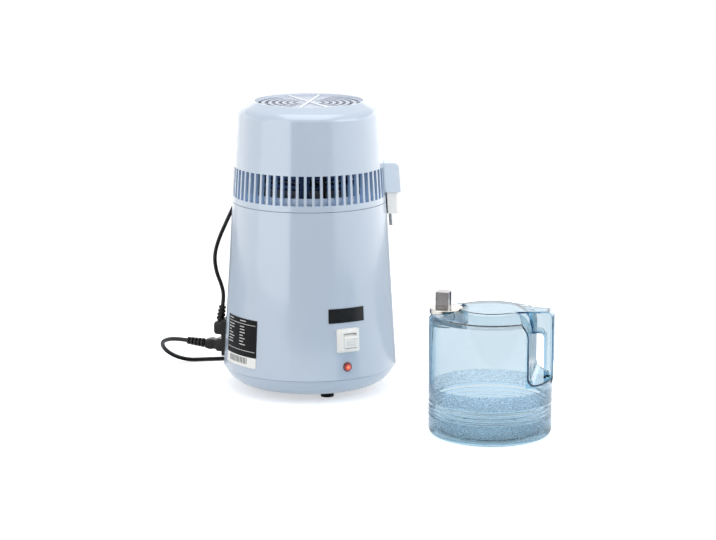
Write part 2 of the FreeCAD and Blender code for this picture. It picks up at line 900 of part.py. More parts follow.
def lamp_lens():
    flange = on_wall(rod_y(lamp_flange_r, -lamp_flange_thick, skin), lamp_azimuth, lamp_z)
    flange = flange.cut(wall_cone(wall_foot_z, housing_top_z))
    dome = rod_y(lamp_stem_r, -lamp_dome_height, 0)
    rim = [e for e in circles(dome) if e.BoundBox.YMax < grow - lamp_dome_height]
    dome = dome.makeFillet(lamp_dome_edge_r, rim)
    stem = rod_y(lamp_stem_r, -lamp_flange_thick / 2, lamp_stem_length)
    return fused([flange, on_wall(fused([dome, stem]), lamp_azimuth, lamp_z)])


def lamp_nut():
    sag = lamp_nut_flats ** 2 / (8 * wall_r(lamp_z)) + thread_clearance
    nut = hexagon(lamp_nut_flats, 0, lamp_nut_thick)
    nut = nut.cut(disc(lamp_stem_r + thread_clearance, -grow, lamp_nut_thick + grow))
    nut.rotate(ORIGIN, V(1, 0, 0), -90)
    return on_wall(moved(nut, 0, skin + sag, 0), lamp_azimuth, lamp_z)


def lamp_body():
    end = lamp_stem_length + lamp_body_length
    tabs = []
    for x in (-lamp_body_r / 2, lamp_body_r / 2):
        tabs.append(block(x - tab_thick / 2, x + tab_thick / 2, end - grow, end + tab_length / 2,
                          -lamp_tab_width / 2, lamp_tab_width / 2))
    return on_wall(fused([rod_y(lamp_body_r, lamp_stem_length, end)] + tabs), lamp_azimuth, lamp_z)


def wedge(half_angle, z0, z1):
    """A wedge about the axis, opening towards -y."""
    far = 2 * wall_foot_r
    corners = [V(0, 0, z0), V(-far * math.sin(half_angle), -far * math.cos(half_angle), z0),
               V(far * math.sin(half_angle), -far * math.cos(half_angle), z0), V(0, 0, z0)]
    return Part.Face(Part.makePolygon(corners)).extrude(V(0, 0, z1 - z0))


def wall_plate(width, height, azimuth, z):
    """A thin plate bent round the wall."""
    z0 = z - height / 2
    z1 = z + height / 2
    shell = wall_cone(z0, z1, -plate_gap - plate_thick).cut(wall_cone(z0 - grow, z1 + grow, -plate_gap))
    return turned(shell.common(wedge(width / 2 / wall_r(z), z0 - grow, z1 + grow)), azimuth)


# ---- sockets and plugs, drawn facing -y and then turned to their azimuth
def nose_prism(clearance, y0, y1, z):
    """The three-pin connector's nose: a slab with two chamfered upper corners."""
    w = nose_width / 2 + clearance
    h = nose_height / 2 + clearance
    c = nose_chamfer
    corners = [V(-w, y0, z - h), V(w, y0, z - h), V(w, y0, z + h - c), V(w - c, y0, z + h),
               V(-w + c, y0, z + h), V(-w, y0, z + h - c)]
    return Part.Face(Part.makePolygon(corners + corners[:1])).extrude(V(0, y1 - y0, 0))


def pin_boxes(z, y0, y1, clearance):
    t = pin_thick / 2 + clearance
    w = pin_width / 2 + clearance
    boxes = []
    for x, pin_z in ((-pin_spacing / 2, z - pin_offset), (0, z + pin_offset),
                     (pin_spacing / 2, z - pin_offset)):
        boxes.append(block(x - t, x + t, y0, y1, pin_z - w, pin_z + w))
    return boxes


def socket_screw_rods(r, y0, y1):
    x = socket_half_width - socket_screw_inset
    z = (mains_socket_z + fan_socket_z) / 2
    return [rod_y(r, y0, y1, -x, z), rod_y(r, y0, y1, x, z)]


def socket_block():
    face = -socket_face_r
    half = socket_half_width
    flange = block(-half, half, face, -wall_foot_r + 4 * skin, socket_bottom_z, socket_top_z)
    flange = flange.makeFillet(socket_corner_r, edges_along(flange, V(0, 1, 0)))
    flange = flange.cut(wall_cone(wall_foot_z, housing_top_z))
    half, z0, z1 = socket_window(0.0)
    body = block(-half, half, face + grow, face + socket_block_depth, z0, z1)
    cuts = socket_screw_rods(socket_screw_r + thread_clearance, face - grow, face + socket_screw_length)
    for z in (mains_socket_z, fan_socket_z):
        cuts.append(nose_prism(nose_clearance, face - grow, face + socket_depth, z))
        cuts += pin_boxes(z, face + socket_depth - grow, face + socket_depth + pin_root, 0.0)
    return turned(fused([flange, body]).cut(cuts), socket_azimuth)


def socket_pins():
    seat = -socket_face_r + socket_depth
    pins = []
    for z in (mains_socket_z, fan_socket_z):
        pins += pin_boxes(z, seat - pin_length, seat + pin_root, 0.0)
    return turned(Part.makeCompound(pins), socket_azimuth)


def socket_screws():
    face = -socket_face_r
    heads = socket_screw_rods(socket_screw_head_r, face - socket_screw_head_h, face)
    shanks = socket_screw_rods(socket_screw_r, face - thread_clearance, face + socket_screw_length)
    return turned(Part.makeCompound([fused(list(pair)) for pair in zip(heads, shanks)]), socket_azimuth)


def plug_front():
    return -socket_face_r - plug_gap


def plug_nose(z):
    return nose_prism(0.0, plug_front() - grow, -socket_face_r + socket_depth - nose_short, z)


def plug_cuts(z):
    """Slots for the socket's pins and room for the heads of its screws."""
    seat = -socket_face_r + socket_depth
    room = socket_screw_head_r + socket_screw_room
    front = plug_front()
    return (pin_boxes(z, seat - pin_length - grow, seat, pin_slot_clearance)
            + socket_screw_rods(room, front - socket_screw_head_h - grow, front + grow))


def box_loft(w0, h0, y0, w1, h1, y1, z):
    """A tapered box between two rectangles across Y."""
    wires = []
    for w, h, y in ((w0 / 2, h0 / 2, y0), (w1 / 2, h1 / 2, y1)):
        corners = [V(-w, y, z - h), V(w, y, z - h), V(w, y, z + h), V(-w, y, z + h)]
        wires.append(Part.makePolygon(corners + corners[:1]))
    return Part.makeLoft(wires, True, True)


def mains_connector():
    z = mains_socket_z
    front = plug_front()
    back = front - connector_length
    grip = box_loft(connector_tail_width, connector_tail_height, back, connector_width, connector_height,
                    front, z)
    body = turned(fused([plug_nose(z), grip]).cut(plug_cuts(z)), socket_azimuth)
    tip, along = run_end(mains_cord_route[::-1])
    knee = tip + along * relief_length
    relief = Part.makeCone(relief_tip_r, relief_r, relief_length, tip, along)
    return fused([body, Part.makeSphere(relief_r, knee), relief])


def fan_plug():
    z = fan_socket_z
    front = plug_front()
    half = fan_plug_half_width
    body = block(-half, half, front - fan_plug_thick, front, z - fan_plug_below, z + fan_plug_above)
    outer_edges = [e for e in body.Edges if e.BoundBox.YMax < front - fan_plug_thick + grow]
    body = body.makeFillet(fan_plug_edge_r, outer_edges)
    body = turned(fused([plug_nose(z), body]).cut(plug_cuts(z)), socket_azimuth)
    tip, along = run_end(fan_cord_route)
    return fused([body, Part.makeCone(fan_relief_tip_r, fan_relief_r, fan_relief_length, tip, along)])


# ---- mains lead
def lead_coil_half():
    return mains_cord_r * lead_coil_columns


def lead_coil_centre():
    """The coil's outer turn carries on from the cord's last run, which goes along +x."""
    start = V(*mains_cord_route[-1])
    return V(start.x + lead_coil_stub, start.y - lead_coil_mean_r - lead_coil_half() + mains_cord_r, 0)


def lead_coil_top():
    return lead_coil_gap + 2 * mains_cord_r * lead_coil_layers


def mains_cord_coil():
    """Six turns as one ring, with the two ends leaving it along its tangents."""
    half = lead_coil_half()
    centre = lead_coil_centre()
    ring = tube(lead_coil_mean_r + half, lead_coil_mean_r - half, lead_coil_gap, lead_coil_top())
    ring = ring.makeFillet(mains_cord_r * 0.8, circles(ring))
    ring = moved(ring, centre.x, centre.y, 0)
    start = V(*mains_cord_route[-1])
    end = V(*tail_route[0])
    stub = V(lead_coil_stub, 0, 0)
    return fused([ring, rod(start, start + stub, mains_cord_r), rod(end, end - stub, mains_cord_r)])


def coil_tie():
    half = lead_coil_half() + tie_clearance
    centre = lead_coil_centre()
    top = lead_coil_top() + tie_clearance
    x0 = lead_coil_mean_r - half
    x1 = lead_coil_mean_r + half
    outer = block(x0 - tie_thick, x1 + tie_thick, -tie_width / 2, tie_width / 2, lead_coil_gap,
                  top + tie_thick)
    strap = outer.cut(block(x0, x1, -tie_width, tie_width, -grow, top))
    return moved(turned(strap, tie_azimuth), centre.x, centre.y, 0)


def plug_line():
    """Where the plug's relief starts, its direction, its face and the inner ends of its pins."""
    tip, along = run_end(tail_route)
    face = tip + along * (plug_relief_length + plug_grip_length + plug_body_length)
    aside = along.cross(UP) * (plug_pin_spacing / 2)
    root = face - along * plug_pin_seat
    return tip, along, face, [root - aside, root + aside]


def mains_plug():
    tip, along, face, roots = plug_line()
    grip_start = tip + along * plug_relief_length
    relief = Part.makeCone(relief_tip_r, relief_r, plug_relief_length, tip, along)
    grip = Part.makeCone(plug_neck_r, plug_grip_r, plug_grip_length, grip_start, along)
    body = Part.makeCylinder(plug_face_r, plug_body_length, face - along * plug_body_length, along)
    body = body.makeFillet(plug_edge_r, circles(body))
    seat = along * (plug_pin_seat + grow)
    return fused([relief, grip, body]).cut([rod(root, root + seat, plug_pin_r) for root in roots])


def plug_pins():
    tip, along, face, roots = plug_line()
    pins = []
    for root in roots:
        pin = rod(root, root + along * (plug_pin_seat + plug_pin_length), plug_pin_r)
        ends = [e for e in circles(pin) if (e.Curve.Center - face).dot(along) > 0]
        pins.append(pin.makeFillet(plug_pin_edge_r, ends))
    return Part.makeCompound(pins)


# ---- head, drawn with the spout at azimuth 90 and then turned by head_turn
def dome_section():
    """Side, rounded brow, sloping top and the grille's seat, drawn as one closed wall."""
    seat_r = grille_rim_r - grille_seat_width
    under_z = grille_under_z - skin
    brow_r = dome_side_r - brow_inset
    brow_z = dome_side_z + brow_rise
    mid_r = dome_side_r - brow_mid_inset
    mid_z = dome_side_z + brow_mid_rise
    far = skin * math.sin(math.radians(brow_lean))
    near = skin * math.cos(math.radians(brow_lean))
    return [
        (wall_r(head_z), head_z), (dome_side_r, dome_side_z), ((mid_r, mid_z), (brow_r, brow_z)),
        (grille_rim_r + rim_land, dome_top_z), (grille_rim_r, dome_top_z), (grille_rim_r, grille_under_z),
        (seat_r, grille_under_z), (seat_r, under_z), (grille_rim_r + skin, under_z),
        (grille_rim_r + skin, dome_top_z - skin), (brow_r - near, brow_z - far),
        ((mid_r - far, mid_z - near), (dome_side_r - skin, dome_side_z)), (wall_r(head_z) - skin, head_z)]


def slat_ring():
    """The band that the slots are cut from: the wall, thickened inwards."""
    z0 = louvre_bottom_z - slat_band_margin
    z1 = louvre_top_z + slat_band_margin
    return wall_cone(z0, z1, skin / 2).cut(wall_cone(z0 - grow, z1 + grow, slat_depth))


def within(azimuth, centre, span):
    return abs((azimuth - centre + 180) % 360 - 180) < span


def louvre_slots():
    top_r = wall_r(louvre_top_z)
    half = math.pi * top_r / slat_count - slat_width / 2
    hood_span = math.degrees(hood_half_width / top_r) + slat_trim
    slots = []
    for k in range(slat_count):
        azimuth = k * 360.0 / slat_count
        if within(azimuth, gland_azimuth - head_turn, patch_span / 2) or within(azimuth, 90, hood_span):
            continue
        slot = block(-half, half, -wall_foot_r, -top_r + 3 * slat_depth, louvre_bottom_z, louvre_top_z)
        slots.append(turned(slot, azimuth))
    return slots


def lid_posts():
    """Posts for the lid's screws, each tied to the wall by a web."""
    top = tray_top_z + post_height
    reach = wall_r(top) - skin / 2
    web = block(-post_web_thick / 2, post_web_thick / 2, -reach, -lid_screw_ring_r, top - post_web_height,
                top)
    posts = on_ring(disc(post_r, tray_top_z, top), lid_screw_ring_r, lid_screw_azimuth, lid_screw_count)
    return posts + on_ring(web, 0, lid_screw_azimuth, lid_screw_count)


def lid_screw_holes(z0, z1):
    hole = disc(lid_screw_r + thread_clearance, z0, z1)
    return on_ring(hole, lid_screw_ring_r, lid_screw_azimuth, lid_screw_count)


def dome_cover():
    whole = fused([revolve(dome_section()), slat_ring()]).cut(louvre_slots())
    cuts = lid_screw_holes(tray_top_z - grow, lid_z + lid_screw_length + grow)
    out = -wall_foot_r
    outlet = rod_y(coil_tube_r + outlet_bore_clearance, out, out / 2, 0, outlet_entry().z)
    stem = rod_y(gland_stem_r + window_clearance, out, out / 2, 0, gland_z)
    cuts += [turned(outlet, 90), turned(stem, gland_azimuth - head_turn)]
    return turned(fused([whole] + lid_posts()).cut(cuts), head_turn)


def grille_slots():
    """Arc slots on both sides, between the grille's crossed ribs."""
    half = math.radians(grille_slot_half_angle)
    far = 2 * grille_rim_r
    z0 = grille_under_z - grow
    z1 = grille_seat_z + grow
    corners = [V(0, 0, z0), V(far * math.cos(half), -far * math.sin(half), z0),
               V(far * math.cos(half), far * math.sin(half), z0), V(0, 0, z0)]
    sector = Part.Face(Part.makePolygon(corners)).extrude(V(0, 0, z1 - z0))
    slots = []
    for k in range(grille_slot_count):
        r = grille_rim_r - grille_slot_border - k * grille_slot_pitch
        ring = tube(r + grille_slot_width / 2, r - grille_slot_width / 2, z0, z1)
        slots += [ring.common(sector), ring.common(turned(sector, 180))]
    return slots


def top_grille():
    r = grille_rim_r - grille_clearance
    plate = disc(r, grille_under_z, grille_seat_z)
    bar = block(-r, r, -grille_mid_rib / 2, grille_mid_rib / 2, grille_under_z, grille_seat_z)
    pieces = [plate.cut(grille_slots()), bar.common(plate)]
    rib_top_z = grille_seat_z + grille_rib_height
    rib = block(-r, r, -grille_rib_width / 2, grille_rib_width / 2, grille_under_z, rib_top_z)
    rib = rib.common(disc(r, grille_under_z, rib_top_z))
    pieces += [turned(rib, 90 - grille_rib_angle), turned(rib, 90 + grille_rib_angle)]
    return turned(fused(pieces), head_turn)


def head_tray():
    outer_r = wall_r(tray_z) - skin - tray_clearance
    inner_r = collar_r - collar_thick
    collar_top_z = tray_top_z + collar_height
    tray = revolve([
        (tray_inner_r, tray_z), (outer_r, tray_z), (outer_r, tray_top_z), (collar_r, tray_top_z),
        (collar_r, collar_top_z), (inner_r, collar_top_z), (inner_r, tray_top_z), (tray_inner_r, tray_top_z)])
    screw_hole = disc(bracket_screw_r + thread_clearance, tray_z + tray_blind, tray_top_z + grow)
    cuts = lid_screw_holes(tray_z - grow, tray_top_z + grow)
    cuts += on_ring(screw_hole, bracket_screw_ring_r(), bracket_arm_azimuth, bracket_arm_count)
    return turned(tray.cut(cuts), head_turn)


def steel_lid():
    t = lid_thick
    r = tank_flange_r() - lid_border
    crown_z = lid_z + lid_crown
    flat_r = lid_crown_r - lid_crown_run
    lid = revolve([
        (0, crown_z), (flat_r, crown_z), (lid_crown_r, lid_z), (r, lid_z), (r, lid_z + t),
        (lid_crown_r + t / 2, lid_z + t), (flat_r + t / 2, crown_z + t), (0, crown_z + t)])
    foot = riser_foot()
    riser_hole = disc(coil_tube_r + thread_clearance, lid_z, crown_z + riser_sink, foot.x, foot.y)
    return turned(lid.cut(lid_screw_holes(lid_z - grow, lid_z + t + grow) + [riser_hole]), head_turn)


def lid_gasket():
    r = tank_flange_r() - lid_border
    return tube(r, r - gasket_width, gasket_z, gasket_z + gasket_height)


def lid_screws():
    one = screw(lid_screw_head_r, lid_screw_head_h, lid_screw_r, lid_screw_length, lid_z)
    return turned(Part.makeCompound(on_ring(one, lid_screw_ring_r, lid_screw_azimuth, lid_screw_count)),
                  head_turn)


def riser_foot():
    return ring_point(90 + coil_half_gap, lid_z + lid_crown - riser_sink, riser_r)


def outlet_entry():
    return ring_point(90, coil_z - outlet_drop, coil_ring_r + outlet_run)


def condenser_coil():
    """Level turns joined by sloping steps, fed by a riser and led out to the spout."""
    r = coil_tube_r
    start = 90 + coil_half_gap
    stop = 90 - coil_half_gap
    pieces = []
    for k in range(coil_turns):
        z = coil_z + k * coil_pitch
        turn = Part.makeTorus(coil_ring_r, r, V(0, 0, z), UP, 0, 360, 360 - 2 * coil_half_gap)
        pieces.append(turned(turn, start - 90))
        pieces.append(Part.makeSphere(r, ring_point(start, z, coil_ring_r)))
        pieces.append(Part.makeSphere(r, ring_point(stop, z, coil_ring_r)))
        if k + 1 < coil_turns:
            upper = ring_point(stop, z + coil_pitch, coil_ring_r)
            pieces.append(rod(ring_point(start, z, coil_ring_r), upper, r))
    foot = riser_foot()
    knee = V(foot.x, foot.y, coil_top_z)
    pieces += [rod(foot, knee, r), Part.makeSphere(r, knee),
               rod(knee, ring_point(start, coil_top_z, coil_ring_r), r)]
    entry = outlet_entry()
    reach = wall_r(entry.z) + cup_wall_gap + cup_depth / 2
    bend = ring_point(90, entry.z - outlet_fall, reach)
    end = ring_point(90, entry.z - outlet_end_drop, reach)
    pieces += [rod(ring_point(stop, coil_z, coil_ring_r), entry, r), Part.makeSphere(r, entry)]
    pieces += [rod(entry, bend, outlet_tube_r), Part.makeSphere(outlet_tube_r, bend),
               rod(bend, end, outlet_tube_r)]
    return turned(fused(pieces), head_turn)


def coil_combs():
    """Upright plates that the coil is threaded through."""
    near_r = coil_ring_r - coil_tube_r - comb_margin
    far_r = coil_ring_r + coil_tube_r + comb_margin
    plate = block(-comb_thick / 2, comb_thick / 2, -far_r, -near_r, tray_top_z,
                  coil_top_z + coil_tube_r + comb_margin)
    foot = block(-comb_foot / 2, comb_foot / 2, -far_r, -near_r, tray_top_z, tray_top_z + comb_foot_thick)
    holes = []
    for k in range(coil_turns):
        centre = V(0, 0, coil_z + k * coil_pitch)
        holes.append(Part.makeTorus(coil_ring_r, coil_tube_r + comb_clearance, centre, UP))
    comb = plate.fuse(foot).cut(holes)
    return turned(Part.makeCompound([turned(comb, azimuth) for azimuth in comb_azimuths]), head_turn)


# ---- head: motor, fan and their bracket, hung from the shaft's top
def bracket_screw_ring_r():
    return bracket_leg_r - bracket_thick - bracket_foot_length / 2


def motor_bracket():
    top = bracket_z + bracket_thick
    half = bracket_arm_width / 2
    foot_top = tray_top_z + bracket_thick
    leg_in = -bracket_leg_r + bracket_thick
    arm = block(-half, half, -bracket_leg_r, 0, bracket_z, top)
    leg = block(-half, half, -bracket_leg_r, leg_in, tray_top_z, top)
    foot = block(-half, half, -bracket_leg_r, leg_in + bracket_foot_length, tray_top_z, foot_top)
    arms = on_ring(fused([arm, leg, foot]), 0, bracket_arm_azimuth, bracket_arm_count)
    foot_hole = disc(bracket_screw_r + thread_clearance, tray_top_z - grow, foot_top + grow)
    motor_hole = disc(motor_screw_r + thread_clearance, bracket_z - grow, top + grow)
    cuts = on_ring(foot_hole, bracket_screw_ring_r(), bracket_arm_azimuth, bracket_arm_count)
    cuts += on_ring(motor_hole, motor_screw_ring_r, motor_screw_azimuth, bracket_arm_count)
    return turned(fused([disc(bracket_disc_r, bracket_z, top)] + arms).cut(cuts), head_turn)


def bracket_screws():
    z = tray_top_z + bracket_thick
    head = disc(bracket_screw_head_r, z, z + bracket_screw_head_h)
    one = fused([head, disc(bracket_screw_r, tray_z + bracket_screw_skin, z)])
    screws = on_ring(one, bracket_screw_ring_r(), bracket_arm_azimuth, bracket_arm_count)
    return turned(Part.makeCompound(screws), head_turn)


def motor_screws():
    one = screw(motor_screw_head_r, motor_screw_head_h, motor_screw_r, bracket_thick + motor_screw_grip,
                bracket_z)
    screws = on_ring(one, motor_screw_ring_r, motor_screw_azimuth, bracket_arm_count)
    return turned(Part.makeCompound(screws), head_turn)


def fan_motor():
    can = disc(motor_r, motor_z, motor_top_z)
    can = can.makeFillet(motor_edge_r, circles(can))
    cap = disc(motor_cap_r, motor_top_z - grow, motor_top_z + motor_cap_height)
    shaft = disc(shaft_r, motor_top_z, shaft_top_z)
    hole = disc(motor_screw_r + thread_clearance, motor_z - grow, motor_z + motor_screw_grip + grow)
    holes = on_ring(hole, motor_screw_ring_r, motor_screw_azimuth, bracket_arm_count)
    return turned(fused([can, cap, shaft]).cut(holes), head_turn)


def fan_rotor():
    top = rotor_z + rotor_hub_height
    low = rotor_z - rotor_blade_chord
    high = top + rotor_blade_chord
    half_chord = rotor_blade_chord / 2
    blade = block(0, rotor_r, -half_chord, half_chord, -rotor_blade_thick / 2, rotor_blade_thick / 2)
    blade.rotate(ORIGIN, V(1, 0, 0), rotor_blade_angle)
    blade.translate(V(0, 0, (rotor_z + top) / 2))
    blade = blade.cut(disc(rotor_hub_r - grow, low, high))
    blades = on_ring(blade, 0, 0, rotor_blade_count)
    whole = fused([disc(rotor_hub_r, rotor_z, top)] + blades).common(disc(rotor_r, low, high))
    return turned(whole.cut(disc(shaft_r + shaft_clearance, rotor_z - grow, top + grow)), head_turn)


def rotor_nut():
    top = rotor_nut_z + rotor_nut_height
    nut = hexagon(rotor_nut_flats, rotor_nut_z, top)
    return nut.cut(disc(shaft_r + shaft_clearance, rotor_nut_z - grow, top + grow))


# ---- head: spout
def hood_outline(inset, foot_z):
    """The hood's section from its lip up over the rounded front to the wall."""
    low_r = wall_r(hood_bottom_z) + cup_wall_gap + cup_depth + hood_lip_gap + hood_skin - inset
    top_r = low_r - hood_lean
    back_r = wall_r(hood_top_z) - slat_depth
    top = hood_top_z - inset
    r = hood_round_r - inset / 2
    bend = 1 - math.sqrt(0.5)
    return [
        (back_r, foot_z), (back_r, top), (top_r - r, top),
        ((top_r - bend * r, top - bend * r), (top_r, top - r)), (low_r, hood_bottom_z), (low_r, foot_z)]


def hood_solid(inset, foot_z):
    half = hood_half_width - inset
    side = outline(hood_outline(inset, foot_z)).extrude(V(0, 2 * half, 0))
    return turned(moved(side, 0, -half, 0), -90)


def spout_hood():
    outer = hood_solid(0.0, hood_bottom_z - grow)
    inner = hood_solid(hood_skin, hood_bottom_z - 2 * grow)
    trim = block(-hood_half_width - grow, hood_half_width + grow, -2 * wall_foot_r, 0,
                 hood_bottom_z - 3 * grow, hood_bottom_z)
    hood = outer.cut([inner, trim, wall_cone(housing_top_z, dome_side_z)])
    return turned(hood, head_turn + 90)


def cup_on_wall(shape):
    return on_wall(shape, head_turn + 90, cup_bottom_z)


def cup_block(inset, z0, z1):
    """The cup's outline with two rounded outer corners, drawn smaller by inset."""
    half = cup_half_width - inset
    y0 = -cup_wall_gap - cup_depth + inset
    body = block(-half, half, y0, -cup_wall_gap - inset, z0, z1)
    corners = [e for e in edges_along(body, UP) if e.BoundBox.YMax < y0 + grow]
    return body.makeFillet(cup_corner_r - inset, corners)


def filter_cup():
    height = cup_top_z - cup_bottom_z
    cup = cup_block(0.0, 0, height)
    low = [e for e in cup.Edges if e.BoundBox.ZMax < grow and e.BoundBox.YMin < -cup_wall_gap - grow]
    cup = cup.makeFillet(cup_floor_r, low)
    hole = disc(drip_r + thread_clearance, -grow, cup_skin + grow, 0, drip_y())
    return cup_on_wall(cup.cut([cup_block(cup_skin, cup_skin, height + grow), hole]))


def carbon_pod():
    pod = cup_block(cup_skin + pod_clearance, cup_skin + pod_rise, cup_skin + pod_rise + pod_height)
    return cup_on_wall(pod)


def drip_y():
    return -cup_wall_gap - cup_depth / 2 + drip_offset


def drip_tube():
    pipe = tube(drip_r, drip_r - drip_wall, -drip_length, cup_skin + drip_seat)
    return cup_on_wall(moved(pipe, 0, drip_y(), 0))


def cord_gland():
    out = wall_r(gland_z)
    wall = wall_cone(housing_top_z, dome_side_z)
    flange = rod_y(gland_flange_r, -out - gland_flange_thick, -out + slat_depth / 2, 0, gland_z)
    stem = rod_y(gland_stem_r, -out, -out + slat_depth + gland_stem_past, 0, gland_z)
    tip, along = run_end(fan_cord_route[::-1])
    bend = tip + along * gland_relief_length
    stub = rod(ring_point(gland_azimuth, gland_z, out), bend, gland_r)
    relief = Part.makeCone(gland_r, gland_tip_r, (tip - bend).Length, bend, tip - bend)
    outside = fused([stub, Part.makeSphere(gland_r, bend), relief]).cut(wall)
    return fused([turned(flange.cut(wall), gland_azimuth), turned(stem, gland_azimuth), outside])


# ---- jug, drawn on the axis with its handle along +x
def jug_placed(shape):
    return moved(turned(shape, jug_turn), jug_x, jug_y, 0)


def jug_section(inset):
    """From the base's centre, up the ribbed side, to the middle of the raised crown."""
    base = jug_base_rise + inset
    side = jug_r - inset
    corner = jug_base_corner
    share = 1 - math.sqrt(0.5)
    points = [(0, base), (jug_base_r - jug_foot_ring, base), (jug_base_r - jug_foot_ring / 2, inset),
              (jug_base_r, inset), ((side - corner * share, inset + corner * share), (side, inset + corner))]
    for z in jug_rib_heights:
        points.append((side, z - jug_rib_half))
        points.append(((side - jug_rib_depth, z), (side, z + jug_rib_half)))
    points.append((side, jug_shoulder_z))
    top = jug_shoulder_top_z - inset
    bulge = ((side - jug_shoulder_run * share, top - (top - jug_shoulder_z) * share),
             (jug_shoulder_r - inset, top))
    crown = jug_crown_z - inset
    points += [bulge, (jug_crown_r + jug_crown_step_run - inset, crown - jug_crown_step),
               (jug_crown_r - inset, crown), (0, crown)]
    return points


def pocket_prism(margin):
    """What the handle end leaves open: the finger pocket and the round above it."""
    reach = 2 * jug_r
    z0 = pocket_bottom_z - margin
    wall_x = pocket_wall_x - margin
    r = pocket_round_r + margin
    round_r = jug_crown_z - pocket_top_z - margin
    share = 1 - math.sqrt(0.5)
    top = pocket_top_z + round_r
    side = outline([
        (reach, z0), (wall_x + r, z0), ((wall_x + r * share, z0 + r * share), (wall_x, z0 + r)),
        (wall_x, pocket_top_z), ((wall_x - round_r * share, top - round_r * share), (wall_x - round_r, top)),
        (wall_x - round_r, top + reach), (reach, top + reach)])
    return moved(side.extrude(V(0, 2 * reach, 0)), 0, -reach, 0)


def grip_prism(inset):
    """The hollow column that the fingers close round and the fin that ties it to the crown."""
    x0 = grip_inner_x + inset
    x1 = grip_outer_x - inset
    z0 = grip_bottom_z + inset
    z1 = grip_top_z - inset
    under = pocket_top_z + inset
    r = grip_top_round_r - 2 * inset
    inner_r = grip_inner_round_r + inset
    share = 1 - math.sqrt(0.5)
    half = grip_half_width - inset
    root = fin_root_half_width - inset
    side = outline([
        (x0, z0), (x1 - grip_foot_rise / 2, z0), (x1, z0 + grip_foot_rise), (x1, z1 - r),
        ((x1 - r * share, z1 - r * share), (x1 - r, z1)), (fin_root_x, z1), (fin_root_x, under),
        (x0 - inner_r, under), ((x0 - inner_r * share, under - inner_r * share), (x0, under - inner_r))])
    plan = [V(fin_root_x, -root, z0), V(x0, -half, z0), V(x1, -half, z0), V(x1, half, z0), V(x0, half, z0),
            V(fin_root_x, root, z0), V(fin_root_x, -root, z0)]
    column = Part.Face(Part.makePolygon(plan)).extrude(V(0, 0, z1 - z0))
    corners = [e for e in edges_along(column, UP) if e.BoundBox.XMin > x1 - grow]
    column = column.makeFillet(grip_round_r - inset / 2, corners)
    return column.common(moved(side.extrude(V(0, 2 * root, 0)), 0, -root, 0))


def jug_solid(inset):
    body = revolve(jug_section(inset))
    notch_r = neck_r + neck_notch_border + inset
    notch = disc(notch_r, neck_notch_z - inset, jug_crown_z + grow, neck_x, 0)
    body = body.cut([notch, pocket_prism(inset)])
    bore_r = neck_bore_r if inset else neck_r
    neck = disc(bore_r, neck_notch_z - neck_root, neck_top_z + (grow if inset else 0), neck_x, 0)
    return body.fuse([grip_prism(inset), neck]).removeSplitter()


def jug_body():
    return jug_placed(jug_solid(0.0).cut(jug_solid(jug_wall)))


def cap_disc():
    shell = disc(cap_r, cap_bottom_z, cap_top_z, neck_x, 0)
    shell = shell.makeFillet(cap_edge_r, circles(shell))
    hollow = disc(neck_r + cap_clearance, cap_bottom_z - grow, cap_under_z, neck_x, 0)
    hole = disc(knob_screw_r + thread_clearance, cap_bottom_z, cap_top_z + grow, neck_x - knob_offset, 0)
    return jug_placed(shell.cut([hollow, hole]))


def cap_seal():
    ring = tube(neck_r, neck_bore_r - cap_seal_overhang, cap_under_z - cap_seal_thick, cap_under_z)
    return jug_placed(moved(ring, neck_x, 0, 0))


def cap_knob():
    half = knob_size / 2
    knob = block(-half, half, -half, half, cap_top_z, cap_top_z + knob_height)
    knob = knob.makeFillet(knob_edge_r, knob.Edges)
    frame = half - knob_frame
    recess = block(-frame, frame, -half - grow, -half + knob_recess,
                   cap_top_z + knob_frame, cap_top_z + knob_height - knob_frame)
    hole = disc(knob_screw_r + thread_clearance, cap_top_z - grow,
                cap_top_z + knob_screw_grip + thread_clearance)
    knob = turned(knob.cut(on_ring(recess, 0, 0, 4) + [hole]), knob_turn)
    return jug_placed(moved(knob, neck_x - knob_offset, 0, 0))


def knob_screw():
    one = screw(knob_screw_head_r, knob_screw_head_h, knob_screw_r, cap_thick + knob_screw_grip, cap_under_z)
    return jug_placed(moved(one, neck_x - knob_offset, 0, 0))


# ---- the part's nodes
base_nodes = {
    "outer_housing": outer_housing, "bottom_pan": bottom_pan, "feet": feet, "foot_screws": foot_screws,
    "boiler_tank": boiler_tank, "tank_studs": tank_studs, "stud_nuts": stud_nuts,
    "heater_plate": heater_plate, "thermostats": thermostats, "switch_frame": switch_frame,
    "rocker": rocker, "lamp_lens": lamp_lens, "lamp_nut": lamp_nut, "lamp_body": lamp_body,
    "socket_block": socket_block, "socket_pins": socket_pins, "socket_screws": socket_screws,
}
head_nodes = {
    "dome_cover": dome_cover, "top_grille": top_grille, "head_tray": head_tray, "steel_lid": steel_lid,
    "lid_gasket": lid_gasket, "lid_screws": lid_screws, "condenser_coil": condenser_coil,
    "coil_combs": coil_combs, "motor_bracket": motor_bracket, "bracket_screws": bracket_screws,
    "fan_motor": fan_motor, "motor_screws": motor_screws, "fan_rotor": fan_rotor, "rotor_nut": rotor_nut,
    "spout_hood": spout_hood, "filter_cup": filter_cup, "carbon_pod": carbon_pod, "drip_tube": drip_tube,
    "cord_gland": cord_gland,
}
lead_nodes = {
    "fan_plug": fan_plug, "mains_connector": mains_connector, "mains_cord_coil": mains_cord_coil,
    "coil_tie": coil_tie, "mains_plug": mains_plug, "plug_pins": plug_pins,
}
jug_nodes = {
    "jug_body": jug_body, "cap_disc": cap_disc, "cap_seal": cap_seal, "cap_knob": cap_knob,
    "knob_screw": knob_screw,
}
cords = {
    "fan_cord": (fan_cord_route, fan_cord_r), "mains_cord": (mains_cord_route, mains_cord_r),
    "mains_cord_tail": (tail_route, mains_cord_r),
}

